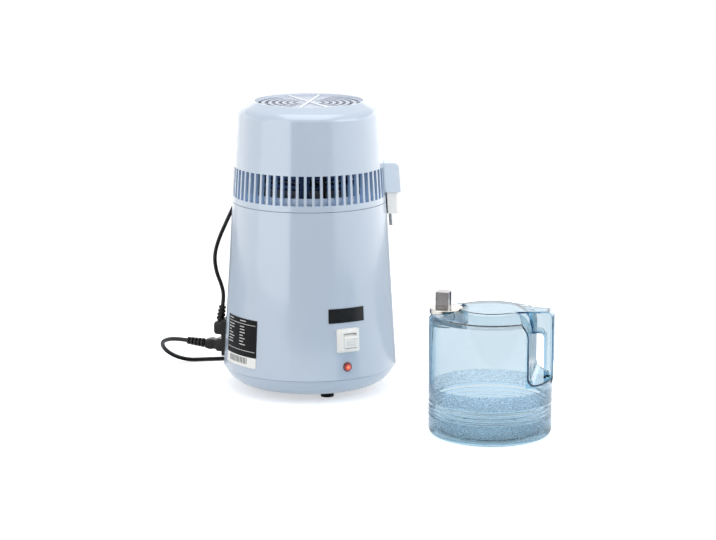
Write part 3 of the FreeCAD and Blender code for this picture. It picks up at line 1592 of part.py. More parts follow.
solids = {}
for group in (base_nodes, head_nodes, lead_nodes, jug_nodes):
    for name, make in group.items():
        solids[name] = make()
for name, (route, r) in cords.items():
    solids[name] = cord_tube(name, route, r)
solids["heating_element"] = element_solid(element_r)
solids["nameplate"] = wall_plate(nameplate_width, nameplate_height, 0, wall_foot_z + nameplate_rise)
solids["rating_label"] = wall_plate(label_width, label_height, label_azimuth, wall_foot_z + label_rise)

os.makedirs("parts", exist_ok=True)
for name, shape in solids.items():
    shape.exportStep("parts/" + name + ".step")
    print(name, "ok" if shape.isValid() else "INVALID", len(shape.Solids), round(shape.Volume))
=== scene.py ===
import json
import math

import bmesh
import bpy
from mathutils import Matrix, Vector

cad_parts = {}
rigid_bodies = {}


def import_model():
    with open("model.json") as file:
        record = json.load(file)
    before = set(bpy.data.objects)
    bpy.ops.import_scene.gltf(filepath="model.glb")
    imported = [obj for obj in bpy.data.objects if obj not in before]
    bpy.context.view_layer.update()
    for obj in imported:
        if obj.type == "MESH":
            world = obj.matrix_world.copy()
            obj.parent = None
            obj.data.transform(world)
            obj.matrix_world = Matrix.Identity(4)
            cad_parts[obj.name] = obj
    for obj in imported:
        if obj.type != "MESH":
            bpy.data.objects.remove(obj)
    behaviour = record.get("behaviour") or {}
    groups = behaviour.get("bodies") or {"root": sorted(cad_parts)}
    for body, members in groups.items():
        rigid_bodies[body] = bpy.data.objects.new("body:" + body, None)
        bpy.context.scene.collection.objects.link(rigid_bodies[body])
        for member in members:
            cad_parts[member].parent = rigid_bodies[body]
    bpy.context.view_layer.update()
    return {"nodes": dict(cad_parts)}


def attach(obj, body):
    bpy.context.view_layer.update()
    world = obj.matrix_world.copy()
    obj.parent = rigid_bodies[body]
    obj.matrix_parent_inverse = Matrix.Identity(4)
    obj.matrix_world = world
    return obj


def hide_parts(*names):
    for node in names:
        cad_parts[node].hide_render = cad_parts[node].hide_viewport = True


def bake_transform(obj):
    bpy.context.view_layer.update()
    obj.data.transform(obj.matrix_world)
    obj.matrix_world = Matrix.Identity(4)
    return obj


for leftover in list(bpy.data.objects):
    bpy.data.objects.remove(leftover)
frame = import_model()
nodes = frame["nodes"]
sceneRoot = bpy.context.scene
mm = 0.001


def paint(red, green, blue):
    # a colour as a screen gives it, turned into the linear values that a shader takes
    linear = []
    for level in (red, green, blue):
        share = level / 255
        linear.append(share / 12.92 if share <= 0.04045 else ((share + 0.055) / 1.055) ** 2.4)
    return (*linear, 1.0)


def shade(colour, factor):
    # the same colour darker or lighter, but never past full brightness
    return tuple(min(1.0, level * factor) for level in colour[:3]) + (1.0,)


def clearSelection():
    bpy.ops.object.select_all(action="DESELECT")


def takeUp(piece):
    clearSelection()
    piece.select_set(True)
    bpy.context.view_layer.objects.active = piece


def named(name):
    piece = bpy.context.active_object
    piece.name = name
    piece.data.name = name
    return piece


def pickEdges(piece, test):
    # selects the edges that pass the test, by where they lie
    bpy.ops.mesh.select_mode(type="EDGE")
    bpy.ops.mesh.select_all(action="DESELECT")
    mesh = bmesh.from_edit_mesh(piece.data)
    for edge in mesh.edges:
        if test(edge):
            edge.select_set(True)
    mesh.select_flush_mode()
    bmesh.update_edit_mesh(piece.data)


def closeEdit(turnOut=True):
    bpy.ops.mesh.select_mode(type="VERT")
    bpy.ops.mesh.select_all(action="SELECT")
    if turnOut:
        bpy.ops.mesh.normals_make_consistent(inside=False)
    bpy.ops.object.mode_set(mode="OBJECT")


def settle(piece):
    takeUp(piece)
    bpy.ops.object.transform_apply(location=True, rotation=True, scale=True)


def stand(piece, foot, along):
    # stands a piece that was modelled upright at the origin on its foot, pointing along its axis
    piece.location = foot
    piece.rotation_mode = "QUATERNION"
    piece.rotation_quaternion = Vector(along).to_track_quat("Z", "Y")
    settle(piece)


def bevelled(piece, width, angle):
    # rounds the edges that turn by more than the angle, over a width in mm
    takeUp(piece)
    bevel = piece.modifiers.new("edges", "BEVEL")
    bevel.width = width * mm
    bevel.segments = 2
    bevel.limit_method = "ANGLE"
    bevel.angle_limit = math.radians(angle)
    bpy.ops.object.modifier_apply(modifier=bevel.name)


def smooth(piece, angle=35):
    takeUp(piece)
    bpy.ops.object.shade_smooth_by_angle(angle=math.radians(angle))


def turnedPiece(name, rings, foot, along, sides=32):
    # a disc is extruded and scaled ring by ring, each ring being (distance along the axis, radius) in mm
    rings = [(distance * mm, radius * mm) for distance, radius in rings]
    distance, radius = rings[0]
    clearSelection()
    bpy.ops.mesh.primitive_circle_add(vertices=sides, radius=radius, fill_type="NGON",
                                      location=(0, 0, distance))
    piece = named(name)
    bpy.ops.object.transform_apply(location=True)
    bpy.ops.object.mode_set(mode="EDIT")
    bpy.ops.mesh.select_all(action="SELECT")
    for nextDistance, nextRadius in rings[1:]:
        step = {"value": (0, 0, nextDistance - distance)}
        bpy.ops.mesh.extrude_region_move(TRANSFORM_OT_translate=step)
        factor = nextRadius / radius
        bpy.ops.transform.resize(value=(factor, factor, 1), center_override=(0, 0, nextDistance))
        distance, radius = nextDistance, nextRadius
    closeEdit()
    stand(piece, foot, along)
    return piece


def mouldedBlock(name, sections, foot, along, rounding):
    # a plate is extruded and scaled section by section, each being (distance, width, height) in mm
    sections = [tuple(size * mm for size in section) for section in sections]
    distance, width, height = sections[0]
    clearSelection()
    bpy.ops.mesh.primitive_plane_add(size=1, location=(0, 0, distance))
    piece = named(name)
    piece.scale = (width, height, 1)
    bpy.ops.object.transform_apply(location=True, scale=True)
    bpy.ops.object.mode_set(mode="EDIT")
    bpy.ops.mesh.select_all(action="SELECT")
    for nextDistance, nextWidth, nextHeight in sections[1:]:
        step = {"value": (0, 0, nextDistance - distance)}
        bpy.ops.mesh.extrude_region_move(TRANSFORM_OT_translate=step)
        factors = (nextWidth / width, nextHeight / height, 1)
        bpy.ops.transform.resize(value=factors, center_override=(0, 0, nextDistance))
        distance, width, height = nextDistance, nextWidth, nextHeight
    # the edges that run up its four corners are rounded
    pickEdges(piece, lambda edge: abs((edge.verts[0].co - edge.verts[1].co).normalized().z) > 0.5)
    bpy.ops.mesh.bevel(offset=rounding * mm, segments=4, affect="EDGES")
    closeEdit()
    stand(piece, foot, along)
    return piece


def joined(name, pieces):
    clearSelection()
    for piece in pieces:
        piece.select_set(True)
    bpy.context.view_layer.objects.active = pieces[0]
    bpy.ops.object.join()
    return named(name)


def copiedNode(node, name):
    # a merged copy of a node's mesh, to be cut or finished further
    piece = bpy.data.objects.new(name, nodes[node].data.copy())
    sceneRoot.collection.objects.link(piece)
    takeUp(piece)
    bpy.ops.object.mode_set(mode="EDIT")
    bpy.ops.mesh.select_all(action="SELECT")
    bpy.ops.mesh.remove_doubles(threshold=0.01 * mm)
    closeEdit(turnOut=False)
    return piece


# shader maths: each operator on a socket adds its Math node, and sizes are in millimetres
class Flow:
    def __init__(self, tree, socket=None):
        self.tree = tree
        self.socket = socket

    def add(self, kind, settings=None, values=None, output=0):
        # any other node: its settings come first, then the values or links of its sockets
        node = self.tree.nodes.new("ShaderNode" + kind)
        for key, value in (settings or {}).items():
            if key == "stops":
                stops = node.color_ramp.elements
                for index, (place, colour) in enumerate(value):
                    stop = stops[index] if index < len(stops) else stops.new(place)
                    stop.position = place
                    stop.color = colour
            else:
                setattr(node, key, value)
        for key, value in (values or {}).items():
            if isinstance(value, Flow):
                self.tree.links.new(value.socket, node.inputs[key])
            else:
                node.inputs[key].default_value = value
        return Flow(self.tree, node.outputs[output] if len(node.outputs) else None)

    def maths(self, operation, *values):
        return self.add("Math", {"operation": operation}, dict(enumerate(values)))

    def __add__(self, other):
        return self.maths("ADD", self, other)

    def __radd__(self, other):
        return self.maths("ADD", other, self)

    def __sub__(self, other):
        return self.maths("SUBTRACT", self, other)

    def __rsub__(self, other):
        return self.maths("SUBTRACT", other, self)

    def __mul__(self, other):
        return self.maths("MULTIPLY", self, other)

    def __rmul__(self, other):
        return self.maths("MULTIPLY", other, self)

    def __truediv__(self, other):
        return self.maths("DIVIDE", self, other)

    def __pow__(self, other):
        return self.maths("POWER", self, other)

    def __lt__(self, other):
        return self.maths("LESS_THAN", self, other)

    def __gt__(self, other):
        return self.maths("GREATER_THAN", self, other)

    def __mod__(self, other):
        return self.maths("FLOORED_MODULO", self, other)

    def __abs__(self):
        return self.maths("ABSOLUTE", self)

    def place(self):
        return self.add("TexCoord", output="Object")

    def axes(self):
        # how far along x, y and z the surface lies
        split = self.add("SeparateXYZ", values={0: self.place()}).socket.node
        return [Flow(self.tree, socket) / mm for socket in split.outputs]

    def noise(self, size, detail=2, stretch=(1, 1, 1)):
        # cloudy noise between about 0.3 and 0.7, with spots of the given size
        scaled = self.add("Mapping", values={"Vector": self.place(), "Scale": stretch})
        return self.add("TexNoise", values={"Vector": scaled, "Scale": 1 / (size * mm), "Detail": detail})

    def ramp(self, stops):
        return self.add("ValToRGB", {"stops": stops}, {0: self})

    def between(self, low, high):
        # 0 below low, 1 above high
        return self.add("MapRange", values={0: self, 1: low, 2: high})

    def within(self, low, high):
        # 1 from low to high, 0 elsewhere
        return (self > low) * (self < high)

    def tint(self, below, above):
        # a colour that goes from one to the other as this value goes from 0 to 1
        return self.add("Mix", {"data_type": "RGBA"}, {0: self, 6: below, 7: above}, output=2)

    def bump(self, depth, below=None):
        values = {"Height": self, "Distance": depth * mm}
        if below is not None:
            values["Normal"] = below
        return self.add("Bump", values=values)

    def roundedEdges(self, radius):
        return self.add("Bevel", {"samples": 4}, {"Radius": radius * mm})


def fromAxis(first, second):
    # the distance from an axis, by the two distances across it
    return (first * first + second * second) ** 0.5


def anyOf(masks):
    # the largest of the masks, so 1 where any of them is 1
    whole = masks[0]
    for mask in masks[1:]:
        whole = whole.maths("MAXIMUM", whole, mask)
    return whole


def material(name, uniform, varying=None):
    # uniform values go straight onto the shader's sockets, and varying(flow) gives the linked ones
    made = bpy.data.materials.new(name)
    made.use_nodes = True
    made.node_tree.nodes.clear()
    flow = Flow(made.node_tree)
    values = dict(uniform)
    if varying is not None:
        values.update(varying(flow))
    shader = flow.add("BsdfPrincipled", values=values)
    flow.add("OutputMaterial", values={"Surface": shader})
    return made


slotLook = {"radius": 115.0, "foot": 34.0, "taper": 0.0616, "skin": 0.8, "low": 258.0, "high": 304.0}
# the rim's colour is painted light: the short wall round the grille is made lighter as the light from above
# falls on it
rimLook = {"radius": 72.6, "low": 380.0, "colour": paint(228, 234, 243)}


def insideSlots(flow):
    # 1 on the faces between and behind the dome's cooling slots, 0 on its outer skin and elsewhere; a
    # saturated blue of bounced light is painted there
    x, y, height = flow.axes()
    skin = slotLook["radius"] - slotLook["skin"] - (height - slotLook["foot"]) * slotLook["taper"]
    return (fromAxis(x, y) < skin) * height.within(slotLook["low"], slotLook["high"])


def insideRim(flow):
    # 1 on the short wall round the dome's grille, where a lighter colour is painted as the light from above
    # that reaches it
    x, y, height = flow.axes()
    return (fromAxis(x, y) < rimLook["radius"]) * (height > rimLook["low"])


# moulded plastics: grain is the size of the orange peel, and spread how far the flow marks change the colour
plastics = {
    # shellBlue's slots colour is painted bounce light: a saturated blue on the faces inside the cooling slots
    "shellBlue": {"colour": paint(187, 200, 215), "slots": paint(168, 198, 232), "roughness": 0.2,
                  "coat": 0.6, "gloss": 0.5, "edge": 0.5, "grain": 2.6, "spread": 0.02, "depth": 0.006},
    "panBlue": {"colour": paint(182, 197, 213), "roughness": 0.3, "coat": 0.25,
                "gloss": 0.5, "edge": 0.5, "grain": 1.6, "spread": 0.025, "depth": 0.01},
    "grilleBlue": {"colour": paint(190, 204, 224), "roughness": 0.32, "coat": 0.2,
                   "gloss": 0.5, "edge": 0.3, "grain": 1.1, "spread": 0.02, "depth": 0.008},
    "hoodBlue": {"colour": paint(226, 238, 250), "roughness": 0.32, "coat": 0.1,
                 "gloss": 0.5, "edge": 0.5, "grain": 1.6, "spread": 0.015, "depth": 0.008},
    "cupCream": {"colour": paint(255, 254, 250), "roughness": 0.34, "coat": 0.0,
                 "gloss": 0.5, "edge": 0.4, "grain": 1.4, "spread": 0.015, "depth": 0.008},
    "switchWhite": {"colour": paint(246, 245, 241), "roughness": 0.3, "coat": 0.1,
                    "gloss": 0.5, "edge": 0.25, "grain": 0.8, "spread": 0.012, "depth": 0.006},
    "socketBlack": {"colour": paint(10, 10, 11), "roughness": 0.3, "coat": 0.0,
                    "gloss": 0.24, "edge": 0.35, "grain": 0.7, "spread": 0.12, "depth": 0.02},
    "footBlack": {"colour": paint(14, 14, 15), "roughness": 0.6, "coat": 0.0,
                  "gloss": 0.12, "edge": 0.3, "grain": 0.6, "spread": 0.15, "depth": 0.03},
    "sealGrey": {"colour": paint(214, 216, 214), "roughness": 0.5, "coat": 0.0,
                 "gloss": 0.5, "edge": 0.3, "grain": 0.9, "spread": 0.03, "depth": 0.02},
    "cordBlack": {"colour": paint(9, 9, 10), "roughness": 0.28, "coat": 0.0,
                  "gloss": 0.26, "edge": 0.1, "grain": 1.0, "spread": 0.1, "depth": 0.02},
}
flowMarks = {"size": 90.0, "stretch": (1, 1, 0.45), "roughness": 0.08}


def mouldedPlastic(name, look):
    # injection-moulded plastic: softened edges, faint flow marks and a fine orange peel
    def varying(flow):
        marks = flow.noise(flowMarks["size"], detail=3, stretch=flowMarks["stretch"])
        peel = flow.noise(look["grain"], detail=3)
        darker = shade(look["colour"], 1 - look["spread"])
        lighter = shade(look["colour"], 1 + look["spread"])
        colours = marks.tint(darker, lighter)
        # painted bounce light: the faces inside the cooling slots take a saturated blue
        if "slots" in look:
            colours = insideSlots(flow).tint(colours, look["slots"])
            # painted light on the short wall round the grille
            colours = insideRim(flow).tint(colours, rimLook["colour"])
        return {
            "Base Color": colours,
            "Roughness": look["roughness"] + (marks - 0.5) * flowMarks["roughness"],
            "Normal": peel.bump(look["depth"], below=flow.roundedEdges(look["edge"])),
        }
    uniform = {"Coat Weight": look["coat"], "Coat Roughness": 0.06, "IOR": 1.5,
               "Specular IOR Level": look["gloss"]}
    return material(name, uniform, varying)


# metals: lines gives the size of the drawn or brushed lines along x, y and z, and dull how dark a stain is
metals = {
    "drawnSteel": {"colour": paint(196, 198, 200), "roughness": 0.28, "lines": (0.4, 0.4, 12.0),
                   "dull": 0.86, "spread": 0.16, "depth": 0.004},
    "capSteel": {"colour": paint(200, 197, 192), "roughness": 0.2, "lines": (0.35, 6.0, 0.35),
                 "dull": 0.93, "spread": 0.1, "depth": 0.003},
    "knobSteel": {"colour": paint(168, 166, 165), "roughness": 0.24, "lines": (5.0, 5.0, 0.3),
                  "dull": 0.9, "spread": 0.1, "depth": 0.003},
    "screwSteel": {"colour": paint(178, 180, 184), "roughness": 0.34, "lines": (0.3, 0.3, 1.0),
                   "dull": 0.8, "spread": 0.2, "depth": 0.01},
    "castAluminium": {"colour": paint(176, 178, 180), "roughness": 0.5, "lines": (0.8, 0.8, 0.8),
                      "dull": 0.85, "spread": 0.2, "depth": 0.06},
    # painted shade: the coil, lid and bracket inside the head take a dark navy steel, for the dark seen
    # through the cooling slots
    "steelPaintedInShade": {"colour": paint(58, 78, 116), "roughness": 0.5, "lines": (0.4, 0.4, 12.0),
                  "dull": 0.7, "spread": 0.16, "depth": 0.004},
    "elementSheath": {"colour": paint(120, 112, 104), "roughness": 0.45, "lines": (0.5, 0.5, 2.0),
                      "dull": 0.6, "spread": 0.2, "depth": 0.02},
    "pinBrass": {"colour": paint(212, 188, 128), "roughness": 0.24, "lines": (0.3, 0.3, 3.0),
                 "dull": 0.85, "spread": 0.12, "depth": 0.005},
}
metalStains = {"size": 20.0, "from": 0.3, "to": 0.75, "edge": 0.2}


def workedMetal(name, look):
    def varying(flow):
        length = max(look["lines"])
        stretch = tuple(length / size for size in look["lines"])
        lines = flow.noise(length, detail=4, stretch=stretch)
        stains = flow.noise(metalStains["size"], detail=3).between(metalStains["from"], metalStains["to"])
        return {
            "Base Color": stains.tint(shade(look["colour"], look["dull"]), look["colour"]),
            "Roughness": look["roughness"] + (lines - 0.5) * look["spread"],
            "Normal": lines.bump(look["depth"], below=flow.roundedEdges(metalStains["edge"])),
        }
    return material(name, {"Metallic": 1.0}, varying)


finishes = {}
for plasticName, plasticLook in plastics.items():
    finishes[plasticName] = mouldedPlastic(plasticName, plasticLook)
for metalName, metalLook in metals.items():
    finishes[metalName] = workedMetal(metalName, metalLook)
print("plastics and metals:", len(finishes))


motorLook = {"clean": paint(52, 56, 62), "dusty": paint(78, 82, 88), "dust": 12.0, "dustFrom": 0.45,
             "dustTo": 0.7, "roughness": 0.45, "dustRoughness": 0.2, "grain": 0.8, "depth": 0.02, "edge": 0.3}


def motorPaint():
    look = motorLook

    def varying(flow):
        peel = flow.noise(look["grain"], detail=3)
        dust = flow.noise(look["dust"], detail=4).between(look["dustFrom"], look["dustTo"])
        return {"Base Color": dust.tint(look["clean"], look["dusty"]),
                "Roughness": look["roughness"] + look["dustRoughness"] * dust,
                "Normal": peel.bump(look["depth"], below=flow.roundedEdges(look["edge"]))}
    return material("motorPaint", {}, varying)


feltLook = {"dark": paint(28, 28, 30), "light": paint(70, 70, 72), "from": 0.35, "to": 0.7, "fibre": 0.5,
            "depth": 0.25, "roughness": 0.95}


def carbonFelt():
    look = feltLook

    def varying(flow):
        fibres = flow.noise(look["fibre"], detail=6)
        return {"Base Color": fibres.between(look["from"], look["to"]).tint(look["dark"], look["light"]),
                "Normal": fibres.bump(look["depth"])}
    return material("carbonFelt", {"Roughness": look["roughness"]}, varying)


# plate is painted shade between the ribs, and ribs is painted light on their tops
grilleLook = {"plate": paint(188, 196, 210), "ribs": paint(242, 245, 250), "plateTop": 383.2,
              "ribFoot": 383.8, "roughness": 0.34, "gloss": 0.2, "grain": 1.1, "depth": 0.008, "edge": 0.3}


def grilleTop():
    # painted shade and light: the plate is painted darker than the ribs that stand on it, as the shade
    # between them and the light on their tops
    look = grilleLook

    def varying(flow):
        height = flow.axes()[2]
        peel = flow.noise(look["grain"], detail=3)
        ribs = height.between(look["plateTop"], look["ribFoot"])
        return {"Base Color": ribs.tint(look["plate"], look["ribs"]),
                "Normal": peel.bump(look["depth"], below=flow.roundedEdges(look["edge"]))}
    uniform = {"Roughness": look["roughness"], "Specular IOR Level": look["gloss"]}
    return material("grilleTop", uniform, varying)


plateLook = {"dark": paint(15, 15, 17), "light": paint(24, 24, 26), "roughness": 0.3, "gloss": 0.3,
             "grain": 0.7, "depth": 0.01, "edge": 0.2}


def plateBlack():
    look = plateLook

    def varying(flow):
        peel = flow.noise(look["grain"])
        return {"Base Color": peel.tint(look["dark"], look["light"]),
                "Normal": peel.bump(look["depth"], below=flow.roundedEdges(look["edge"]))}
    uniform = {"Roughness": look["roughness"], "Specular IOR Level": look["gloss"]}
    return material("plateBlack", uniform, varying)


lampLook = {
    "x": -1.8, "height": 51.0, "core": 1.2, "rim": 3.9,
    "facet": 1.3, "facetReach": 2.4, "facetDepth": 0.3, "roughness": 0.12,
    # a ramp starts with its two end stops, so they come before the one between them
    "glow": ((0.0, (1.0, 0.36, 0.16, 1)), (1.0, (0.05, 0.002, 0.002, 1)), (0.45, (0.78, 0.05, 0.02, 1))),
    "middle": paint(226, 62, 40), "outside": paint(104, 14, 12),
}


def lampRed():
    # a lit lens: orange in the middle, with a dark red rim and moulded facets
    look = lampLook

    def varying(flow):
        x, y, height = flow.axes()
        facets = flow.noise(look["facet"], detail=1)
        across = fromAxis(x - look["x"], height - look["height"]) + (facets - 0.5) * look["facetReach"]
        outwards = across.between(look["core"], look["rim"])
        return {"Emission Color": outwards.ramp(look["glow"]),
                "Base Color": outwards.tint(look["middle"], look["outside"]),
                "Normal": facets.bump(look["facetDepth"])}
    uniform = {"Roughness": look["roughness"], "Coat Weight": 1.0, "Emission Strength": 1.0}
    return material("lampRed", uniform, varying)


# heights are above the table, and places along the label are from its middle
labelLook = {
    "azimuth": -81.0, "radius": 112.8, "width": 66.0, "low": 45.3, "stripHeight": 13.6,
    "rows": 9, "bareRow": 1, "firstRow": 104.6, "rowPitch": 3.9, "rowHeight": 1.2,
    "columns": (-29.5, 0.0), "columnSeed": 31.7, "shortest": 7.0, "longest": 17.0, "ink": 0.72,
    "rules": (101.4, 66.4), "ruleHeight": 0.5, "ruleMargin": 2.5,
    "tickPitch": 3.2, "tickWidth": 1.7, "tickMiddle": -3.0, "tickReach": 20.0,
    "tickFoot": 4.0, "tickGap": 1.5,      # the strip's bare edges below and above its ticks
    "black": paint(17, 17, 19), "white": paint(246, 246, 242), "gloss": 0.08, "roughness": 0.32,
    "grain": 0.9, "grainRoughness": 0.1,
}


def labelDashes(flow, along, height):
    # in each row one dash of chance length for each column
    look = labelLook
    rowPlace = (look["firstRow"] + look["rowHeight"] - height) / look["rowPitch"]
    row = flow.maths("FLOOR", rowPlace)
    inRow = (rowPlace % 1.0) * look["rowPitch"] < look["rowHeight"]
    inRow = inRow * row.within(-0.5, look["rows"] - 0.5) * (abs(row - look["bareRow"]) > 0.5)
    dashes = []
    for number, start in enumerate(look["columns"]):
        seed = row + number * look["columnSeed"]
        chance = flow.add("TexWhiteNoise", {"noise_dimensions": "1D"}, {"W": seed})
        end = start + look["shortest"] + chance * (look["longest"] - look["shortest"])
        dashes.append(inRow * (along > start) * (along < end) * look["ink"])
    return dashes


def labelRules(along, height):
    look = labelLook
    inMargins = abs(along) < look["width"] / 2 - look["ruleMargin"]
    return [(abs(height - middle) < look["ruleHeight"] / 2) * inMargins for middle in look["rules"]]


def labelPrint():
    # a black label with two columns of plain dashes, two rules, and a white strip with even ticks
    look = labelLook

    def varying(flow):
        x, y, height = flow.axes()
        along = (flow.maths("ARCTAN2", x, 0 - y) - math.radians(look["azimuth"])) * look["radius"]
        ink = anyOf(labelDashes(flow, along, height) + labelRules(along, height))
        stripTop = look["low"] + look["stripHeight"]
        strip = height < stripTop
        ticks = (along % look["tickPitch"]) < look["tickWidth"]
        ticks = ticks * (abs(along - look["tickMiddle"]) < look["tickReach"])
        ticks = ticks * height.within(look["low"] + look["tickFoot"], stripTop - look["tickGap"])
        printed = anyOf([ink * (1 - strip), strip * (1 - ticks)])
        return {"Base Color": printed.tint(look["black"], look["white"]),
                "Roughness": look["roughness"] + flow.noise(look["grain"]) * look["grainRoughness"]}
    return material("labelPrint", {"Specular IOR Level": look["gloss"]}, varying)


jugLook = {
    "x": 95.0, "y": -316.0, "radius": 76.8, "ior": 1.34,
    "absorption": (0.24, 0.57, 0.76, 1), "density": 62.0, "shadow": (0.86, 0.94, 0.97, 1),
    # edge is painted shade: a deeper blue where the wall turns away towards the silhouettes
    "clear": (0.77, 0.805, 0.82, 1), "edge": (0.2, 0.46, 0.62, 1), "edgeFrom": 0.44, "roughness": 0.03,
    # round the lower wall
    "bands": ((45.5, 63.0), (10.0, 26.0)), "bandWall": 6.0, "bandTint": (0.69, 0.795, 0.875, 1),
    "pit": 1.5, "pitFrom": 0.52, "pitTo": 0.6, "pitDepth": 0.4, "pitRoughness": 0.3,
    # the groove colour is painted shade in the grooves, and the foot colour paints the wall darker towards
    # its foot
    "grooves": (27.7, 32.7, 37.9, 44.6), "grooveHalf": 0.8, "grooveShade": (0.56, 0.7, 0.8, 1),
    "foot": (3.0, 20.0), "footShade": (0.42, 0.49, 0.51, 1),
    # behind the grip, by how far out towards the handle, and the ledge that the grip stands on, both painted
    # a deeper blue as shade
    "turn": -36.0, "pocket": (49.0, 53.5), "pocketLow": 72.0, "ledge": (71.0, 78.0),
    "pocketShade": (0.45, 0.68, 0.78, 1), "tintFrom": 0.3, "tintTo": 0.6,
    # soft waves all over, and upright streaks in the pocket
    "wave": 18.0, "waveDepth": 0.12, "streak": 9.0, "streakStretch": (1, 1, 0.12), "streakDepth": 2.4,
}


def jugClear():
    # clear pale blue plastic, coloured by its thickness, with painted shade at its edges, grooves, foot and
    # pocket
    look = jugLook

    def varying(flow):
        x, y, height = flow.axes()
        x = x - look["x"]
        y = y - look["y"]
        onWall = fromAxis(x, y) > look["radius"] - look["bandWall"]
        bands = anyOf([height.within(low, high) for low, high in look["bands"]]) * onWall
        pits = flow.noise(look["pit"]).between(look["pitFrom"], look["pitTo"])
        grooves = anyOf([abs(height - middle) < look["grooveHalf"] for middle in look["grooves"]])

        turn = math.radians(look["turn"])
        outwards = x * math.cos(turn) + y * math.sin(turn)
        pocketStart, pocketEnd = look["pocket"]
        pocket = outwards.within(pocketStart, pocketEnd) * (height > look["pocketLow"])
        ledge = (outwards > pocketStart) * height.within(*look["ledge"])
        streaks = flow.noise(look["streak"], stretch=look["streakStretch"])
        waves = flow.noise(look["wave"], detail=1)
        flowing = (waves * look["waveDepth"] + streaks * pocket * look["streakDepth"]).bump(1.0)

        # painted shade: a deeper blue as the wall turns away towards the silhouettes
        facing = flow.add("LayerWeight", values={"Blend": 0.5}, output="Facing")
        colours = facing.between(look["edgeFrom"], 1.0).tint(look["clear"], look["edge"])
        colours = bands.tint(colours, look["bandTint"])
        # painted shade in the grooves, and darker towards the foot
        colours = grooves.tint(colours, look["grooveShade"])
        colours = height.between(*look["foot"]).tint(look["footShade"], colours)
        # painted shade behind the grip: its streaks and the ledge take a deeper blue
        tinted = anyOf([pocket * streaks.between(look["tintFrom"], look["tintTo"]), ledge])
        return {"Base Color": tinted.tint(colours, look["pocketShade"]),
                "Roughness": look["roughness"] + bands * pits * look["pitRoughness"],
                "Normal": (pits * bands).bump(look["pitDepth"], below=flowing)}

    made = material("jugClear", {"IOR": look["ior"], "Transmission Weight": 1.0}, varying)
    tree = made.node_tree
    output = next(node for node in tree.nodes if node.type == "OUTPUT_MATERIAL")
    flow = Flow(tree)
    shader = Flow(tree, output.inputs["Surface"].links[0].from_socket)
    # shadow rays go straight through and take a pale tint
    seeThrough = flow.add("BsdfTransparent", values={"Color": look["shadow"]})
    shadowRay = flow.add("LightPath", output="Is Shadow Ray")
    mixed = flow.add("MixShader", values={0: shadowRay, 1: shader, 2: seeThrough})
    body = flow.add("VolumeAbsorption", values={"Color": look["absorption"], "Density": look["density"]})
    tree.links.new(mixed.socket, output.inputs["Surface"])
    tree.links.new(body.socket, output.inputs["Volume"])
    return made


for makeFinish in (grilleTop, motorPaint, carbonFelt, lampRed, labelPrint, plateBlack, jugClear):
    finishes[makeFinish.__name__] = makeFinish()

finishOfSlot = {
    "pale_blue_plastic": "shellBlue", "pan_plastic": "panBlue", "grille_plastic": "grilleBlue",
    "cream_plastic": "cupCream", "white_plastic": "switchWhite", "black_plastic": "socketBlack",
    "label_black": "plateBlack", "foot_rubber": "footBlack", "gasket_silicone": "sealGrey",
    "cord_pvc": "cordBlack", "stainless": "drawnSteel", "polished_steel": "capSteel",
    "screw_steel": "screwSteel", "cast_aluminium": "castAluminium", "element_sheath": "elementSheath",
    "motor_paint": "motorPaint", "pin_brass": "pinBrass", "lamp_red": "lampRed",
    "carbon_felt": "carbonFelt", "jug_clear": "jugClear",
}
# nodes that take another finish than the rest of their slot
finishOfNode = {
    "rating_label": "labelPrint", "spout_hood": "hoodBlue", "head_tray": "hoodBlue",
    # the parts seen through the cooling slots take the steel that is painted dark as shade
    "condenser_coil": "steelPaintedInShade", "steel_lid": "steelPaintedInShade", "motor_bracket": "steelPaintedInShade",
    "cap_knob": "knobSteel", "top_grille": "grilleTop",
}


def dress(piece, slot, finish=None):
    piece.data.materials.clear()
    piece.data.materials.append(finishes[finish or finishOfSlot[slot]])


for nodeName, node in nodes.items():
    slotName = node.data.materials[0].name.split(".")[0]
    finish = finishOfNode.get(nodeName, finishOfSlot[slotName])
    node.material_slots[0].material = finishes[finish]
print("nodes dressed:", len(nodes))


# the two cords: points and coil in metres; a step of the coil begins and ends at so many turns
mainsLead = {
    "radius": 2.9 * mm,
    "route": [
        (-0.1265, 0.1177, 0.0522), (-0.1373, 0.1321, 0.0528), (-0.144, 0.152, 0.0483),
        (-0.1425, 0.172, 0.0395), (-0.1315, 0.19, 0.0255), (-0.112, 0.2015, 0.0115),
        (-0.09, 0.203, 0.00295), (-0.066, 0.196, 0.00295), (-0.042, 0.1875, 0.00295),
        (-0.015, 0.1828, 0.00295), (0.016, 0.184, 0.00295), (0.0455, 0.184, 0.00295),
    ],
    "tail": [
        (0.0895, 0.184, 0.00875), (0.1052, 0.184, 0.00875), (0.1265, 0.1882, 0.018), (0.1407, 0.191, 0.018),
    ],
    "coilCentre": (0.0675, 0.1462), "coilRadius": 0.0378, "coilLow": 0.00295, "turns": 5, "perTurn": 16,
    "stepsIn": ((0.72, 0.98), (1.72, 1.98)), "stepUp": (2.44, 2.72), "stepsOut": ((3.16, 3.44), (4.16, 4.44)),
}
fanLead = {
    "radius": 2.6 * mm,
    "route": [
        (-0.0486, 0.0988, 0.2591), (-0.0552, 0.1037, 0.2465), (-0.0665, 0.102, 0.2295),
        (-0.079, 0.096, 0.212), (-0.091, 0.091, 0.194), (-0.0995, 0.0875, 0.173),
        (-0.098, 0.0855, 0.151), (-0.092, 0.0805, 0.132), (-0.09, 0.0782, 0.117),
        (-0.0916, 0.0796, 0.104),
    ],
}


def eased(value, start, end):
    # 0 before the start, 1 after the end, and smooth between them
    share = min(1.0, max(0.0, (value - start) / (end - start)))
    return share * share * (3 - 2 * share)


